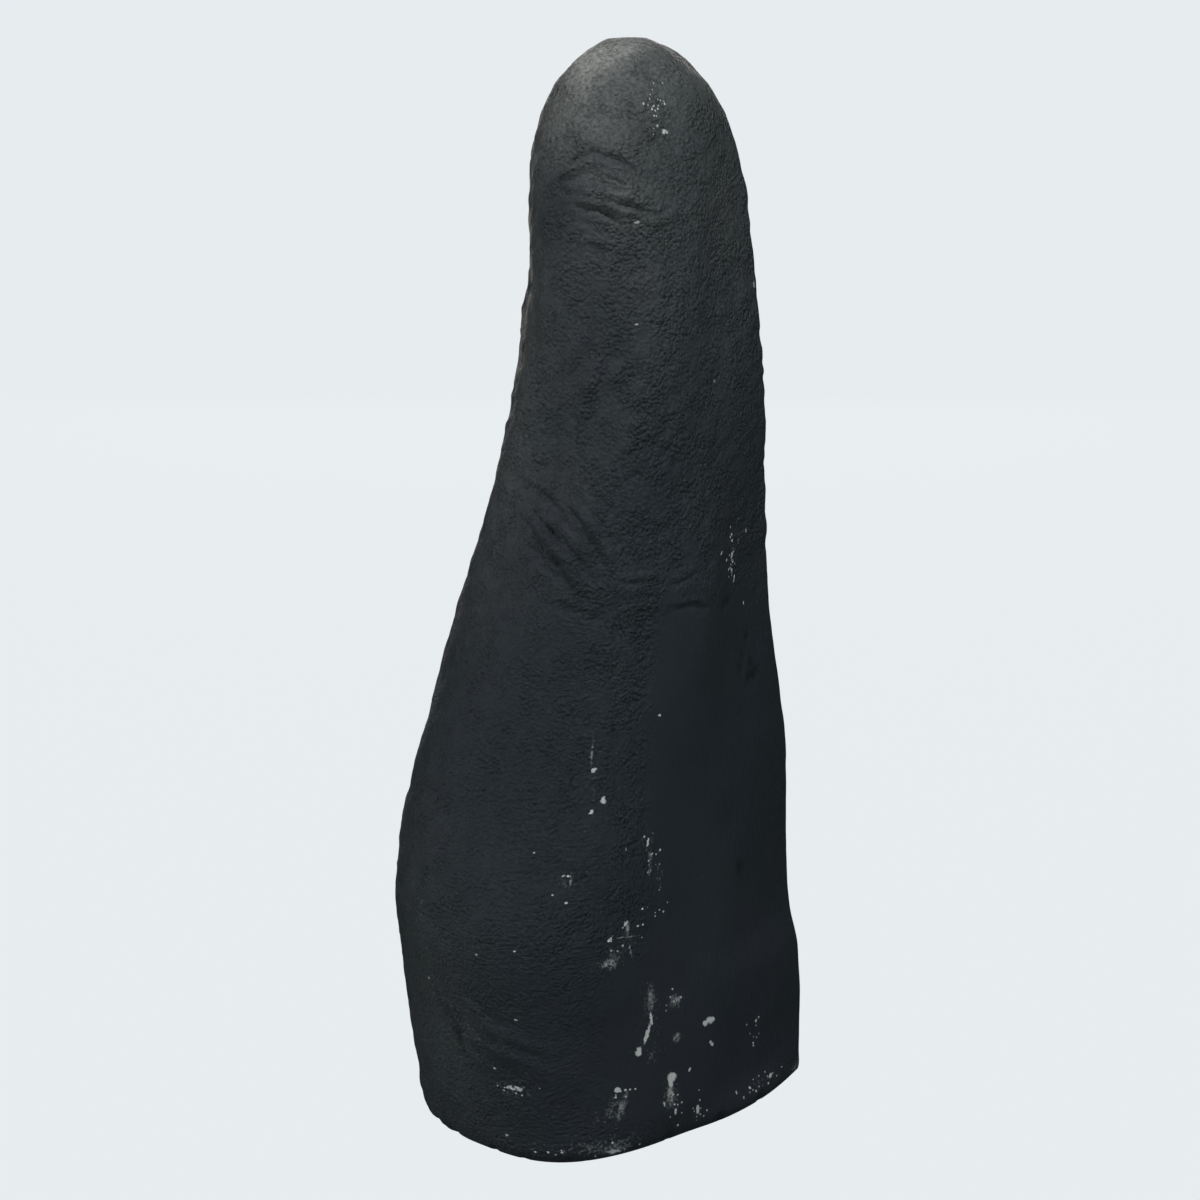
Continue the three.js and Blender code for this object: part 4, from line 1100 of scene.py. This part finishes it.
def amethyst_crust():
    """The lining of crystals, as one closed piece: a thin crust on the wall, the points that grew from it
    and smaller ones between them, cut flush with the sawn face."""
    pieces = []
    for kind in (POINTS, SMALL_POINTS):
        corners, here, radius = crystal_points(kind)
        count = corners.shape[1]
        one = crystal_faces(count // 6)
        for group in apart_groups(here, radius):
            faces = [[v + n * count for v in face] for n in range(len(group)) for face in one]
            pieces.append(mesh_object(f"grown_{len(pieces)}", corners[group].reshape(-1, 3), faces))
    crust, *others = pieces
    grown = bpy.data.collections.new("grown")
    for piece in others:
        grown.objects.link(piece)
        SCENE.collection.objects.unlink(piece)
    root, layer, block = mesh_object("root", *lathe(POINTS_INSET)), crust_layer(), front_block()
    for operation, what in (("UNION", grown), ("INTERSECT", root), ("UNION", layer), ("DIFFERENCE", block)):
        step = crust.modifiers.new(operation.lower(), "BOOLEAN")
        step.operation, step.solver = operation, "MANIFOLD"
        if what is grown:
            step.operand_type, step.collection = "COLLECTION", what
        else:
            step.object = what
    made = bpy.data.meshes.new_from_object(crust.evaluated_get(bpy.context.evaluated_depsgraph_get()))
    for spare in [*pieces, root, layer, block]:
        bpy.data.objects.remove(spare)
    bpy.data.collections.remove(grown)
    made.name = "amethyst_crust"
    made.materials.clear()
    made.materials.append(amethyst())
    crust = bpy.data.objects.new("amethyst_crust", made)
    SCENE.collection.objects.link(crust)
    largest_only(crust)
    merged(crust)
    finer_cut(crust)
    p = np.empty(len(made.vertices) * 3)
    made.vertices.foreach_get("co", p)
    store(made, "depth", crust_depth(p.reshape(-1, 3) * METRE + MIDDLE))
    made.polygons.foreach_set("use_smooth", np.zeros(len(made.polygons), bool))
    return crust


def finer_cut(piece):
    """Splits the long edges of the flat cut face until none is longer than CUT_STEP."""
    def on_cut(part):
        """Whether all corners of an edge or face lie on the cut."""
        ys = [v.co.y * METRE + MIDDLE[1] - front_y(v.co.z * METRE) - CUT_BACK for v in part.verts]
        return max(map(abs, ys)) < CUT_SLACK

    with edited(piece) as bm:
        bmesh.ops.triangulate(bm, faces=[f for f in bm.faces if on_cut(f)])
        for _ in range(CUT_ROUNDS):
            long = [e for e in bm.edges if e.calc_length() > CUT_STEP * MM and on_cut(e)]
            if not long:
                break
            bmesh.ops.subdivide_edges(bm, edges=long, cuts=1)
            bmesh.ops.triangulate(bm, faces=[f for f in bm.faces if len(f.verts) > 3 and on_cut(f)])


def largest_only(piece):
    """Keeps the outer skin of the largest body, which fills the pockets that crystals close off between
    them."""
    with edited(piece) as bm:
        left, bodies = set(bm.verts), []
        while left:
            body, edge = set(), [left.pop()]
            while edge:
                v = edge.pop()
                body.add(v)
                fresh = {e.other_vert(v) for e in v.link_edges} & left
                left -= fresh
                edge.extend(fresh)
            bodies.append(body)
        largest = max(bodies, key=len)
        bmesh.ops.delete(bm, geom=[v for v in bm.verts if v not in largest], context="VERTS")


coat = painted_shell()
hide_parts("geode_shell")
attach(coat, "root")
crust = amethyst_crust()
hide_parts("amethyst_crystals")
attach(crust, "root")


# ---- Floor, light and camera ---------------------------------------------------------------------

BACKDROP, WORLD_STRENGTH = "e8edf0", 1.012
FLOOR_TONE, FLOOR_GLOW, FLOOR_HALF, FLOOR_Z = 0.004, 0.99, 60, -0.0002
HEADING, TILT, DISTANCE, LENS, SENSOR = math.radians(212), math.radians(14), 1.5, 94.5, 36
AIM = Vector((-0.0213, -0.0002, 0.258))
MIDDLE_UP, LOW_DOWN, SKYWARDS = (0, 0, 0.26), (0, 0, 0.03), (0, 0, 1)
COOL, LEAFY, WARM = "f2f9ff", "f5faf2", "fffaf4"
LIGHTS = [  # name, heading, distance and height, width and height of the box, watts, colour, what it faces
    ("key", 222, 0.8, 1.75, 0.28, 0.28, 16, COOL, MIDDLE_UP),
    ("behind", 212, 2.4, 0.5, 1.6, 1.6, 1.8, COOL, MIDDLE_UP),
    ("left", 134, 2.0, 0.5, 2.2, 1.8, 7.6, LEAFY, MIDDLE_UP),
    ("right", 284, 2.0, 0.35, 1.8, 1.4, 6.7, COOL, MIDDLE_UP),
    ("low_left", 124, 1.7, 0.15, 1.6, 0.25, 5.2, COOL, MIDDLE_UP),
    ("low", 208, 0.8, 0.08, 0.9, 0.15, 1.2, COOL, LOW_DOWN),
    ("floor_bounce", 0, 0, 0.0006, 6, 6, 9, COOL, SKYWARDS),
    ("front", 32, 1.9, 0.5, 1.2, 0.8, 31, WARM, MIDDLE_UP),
]


def pale_floor():
    """A matt pale studio floor under even light."""
    made, add = material("matt_white_floor")
    lit = add("BsdfDiffuse", {"Color": (FLOOR_TONE, FLOOR_TONE, FLOOR_TONE, 1)})
    glow = add("Emission", {"Color": srgb(BACKDROP), "Strength": FLOOR_GLOW})
    add("OutputMaterial", {"Surface": add("AddShader", (lit, glow))})
    mesh = bpy.data.meshes.new("floor")
    corners = [(x * FLOOR_HALF, y * FLOOR_HALF, FLOOR_Z) for x, y in ((-1, -1), (1, -1), (1, 1), (-1, 1))]
    mesh.from_pydata(corners, [], [(0, 1, 2, 3)])
    mesh.materials.append(made)
    floor = bpy.data.objects.new("floor", mesh)
    SCENE.collection.objects.link(floor)
    floor.visible_diffuse = False
    floor.visible_glossy = False
    floor.visible_transmission = False


def soft_lights():
    """Rectangular softboxes round the object, each facing a place on it or above it."""
    for name, heading, out, up, width, height, watts, colour, aim in LIGHTS:
        light = bpy.data.lights.new(name, "AREA")
        light.shape, light.size, light.size_y = "RECTANGLE", width, height
        light.energy, light.color = watts, srgb(colour)[:3]
        lamp = bpy.data.objects.new(name, light)
        turn = math.radians(heading)
        lamp.location = out * math.sin(turn), -out * math.cos(turn), up
        lamp.rotation_euler = (lamp.location - Vector(aim)).to_track_quat("Z", "Y").to_euler()
        lamp.visible_camera = False
        SCENE.collection.objects.link(lamp)


def even_backdrop():
    """A world of the backdrop's colour, which only the camera sees."""
    SCENE.world = bpy.data.worlds.new("studio")
    SCENE.world.use_nodes = True
    background = SCENE.world.node_tree.nodes["Background"]
    background.inputs["Color"].default_value = srgb(BACKDROP)
    background.inputs["Strength"].default_value = WORLD_STRENGTH
    for kind in ("diffuse", "glossy", "transmission", "scatter"):
        setattr(SCENE.world.cycles_visibility, kind, False)


def studio_camera():
    """The camera, at a heading and a tilt from the object."""
    lens = bpy.data.cameras.new("camera")
    lens.lens, lens.sensor_width = LENS, SENSOR
    eye = bpy.data.objects.new("camera", lens)
    offset = Vector((math.sin(HEADING) * math.cos(TILT), -math.cos(HEADING) * math.cos(TILT), math.sin(TILT)))
    eye.location = AIM + offset * DISTANCE
    eye.rotation_euler = offset.to_track_quat("Z", "Y").to_euler()
    SCENE.collection.objects.link(eye)
    SCENE.camera = eye


pale_floor()
even_backdrop()
soft_lights()
studio_camera()
SCENE.view_settings.view_transform = "Standard"
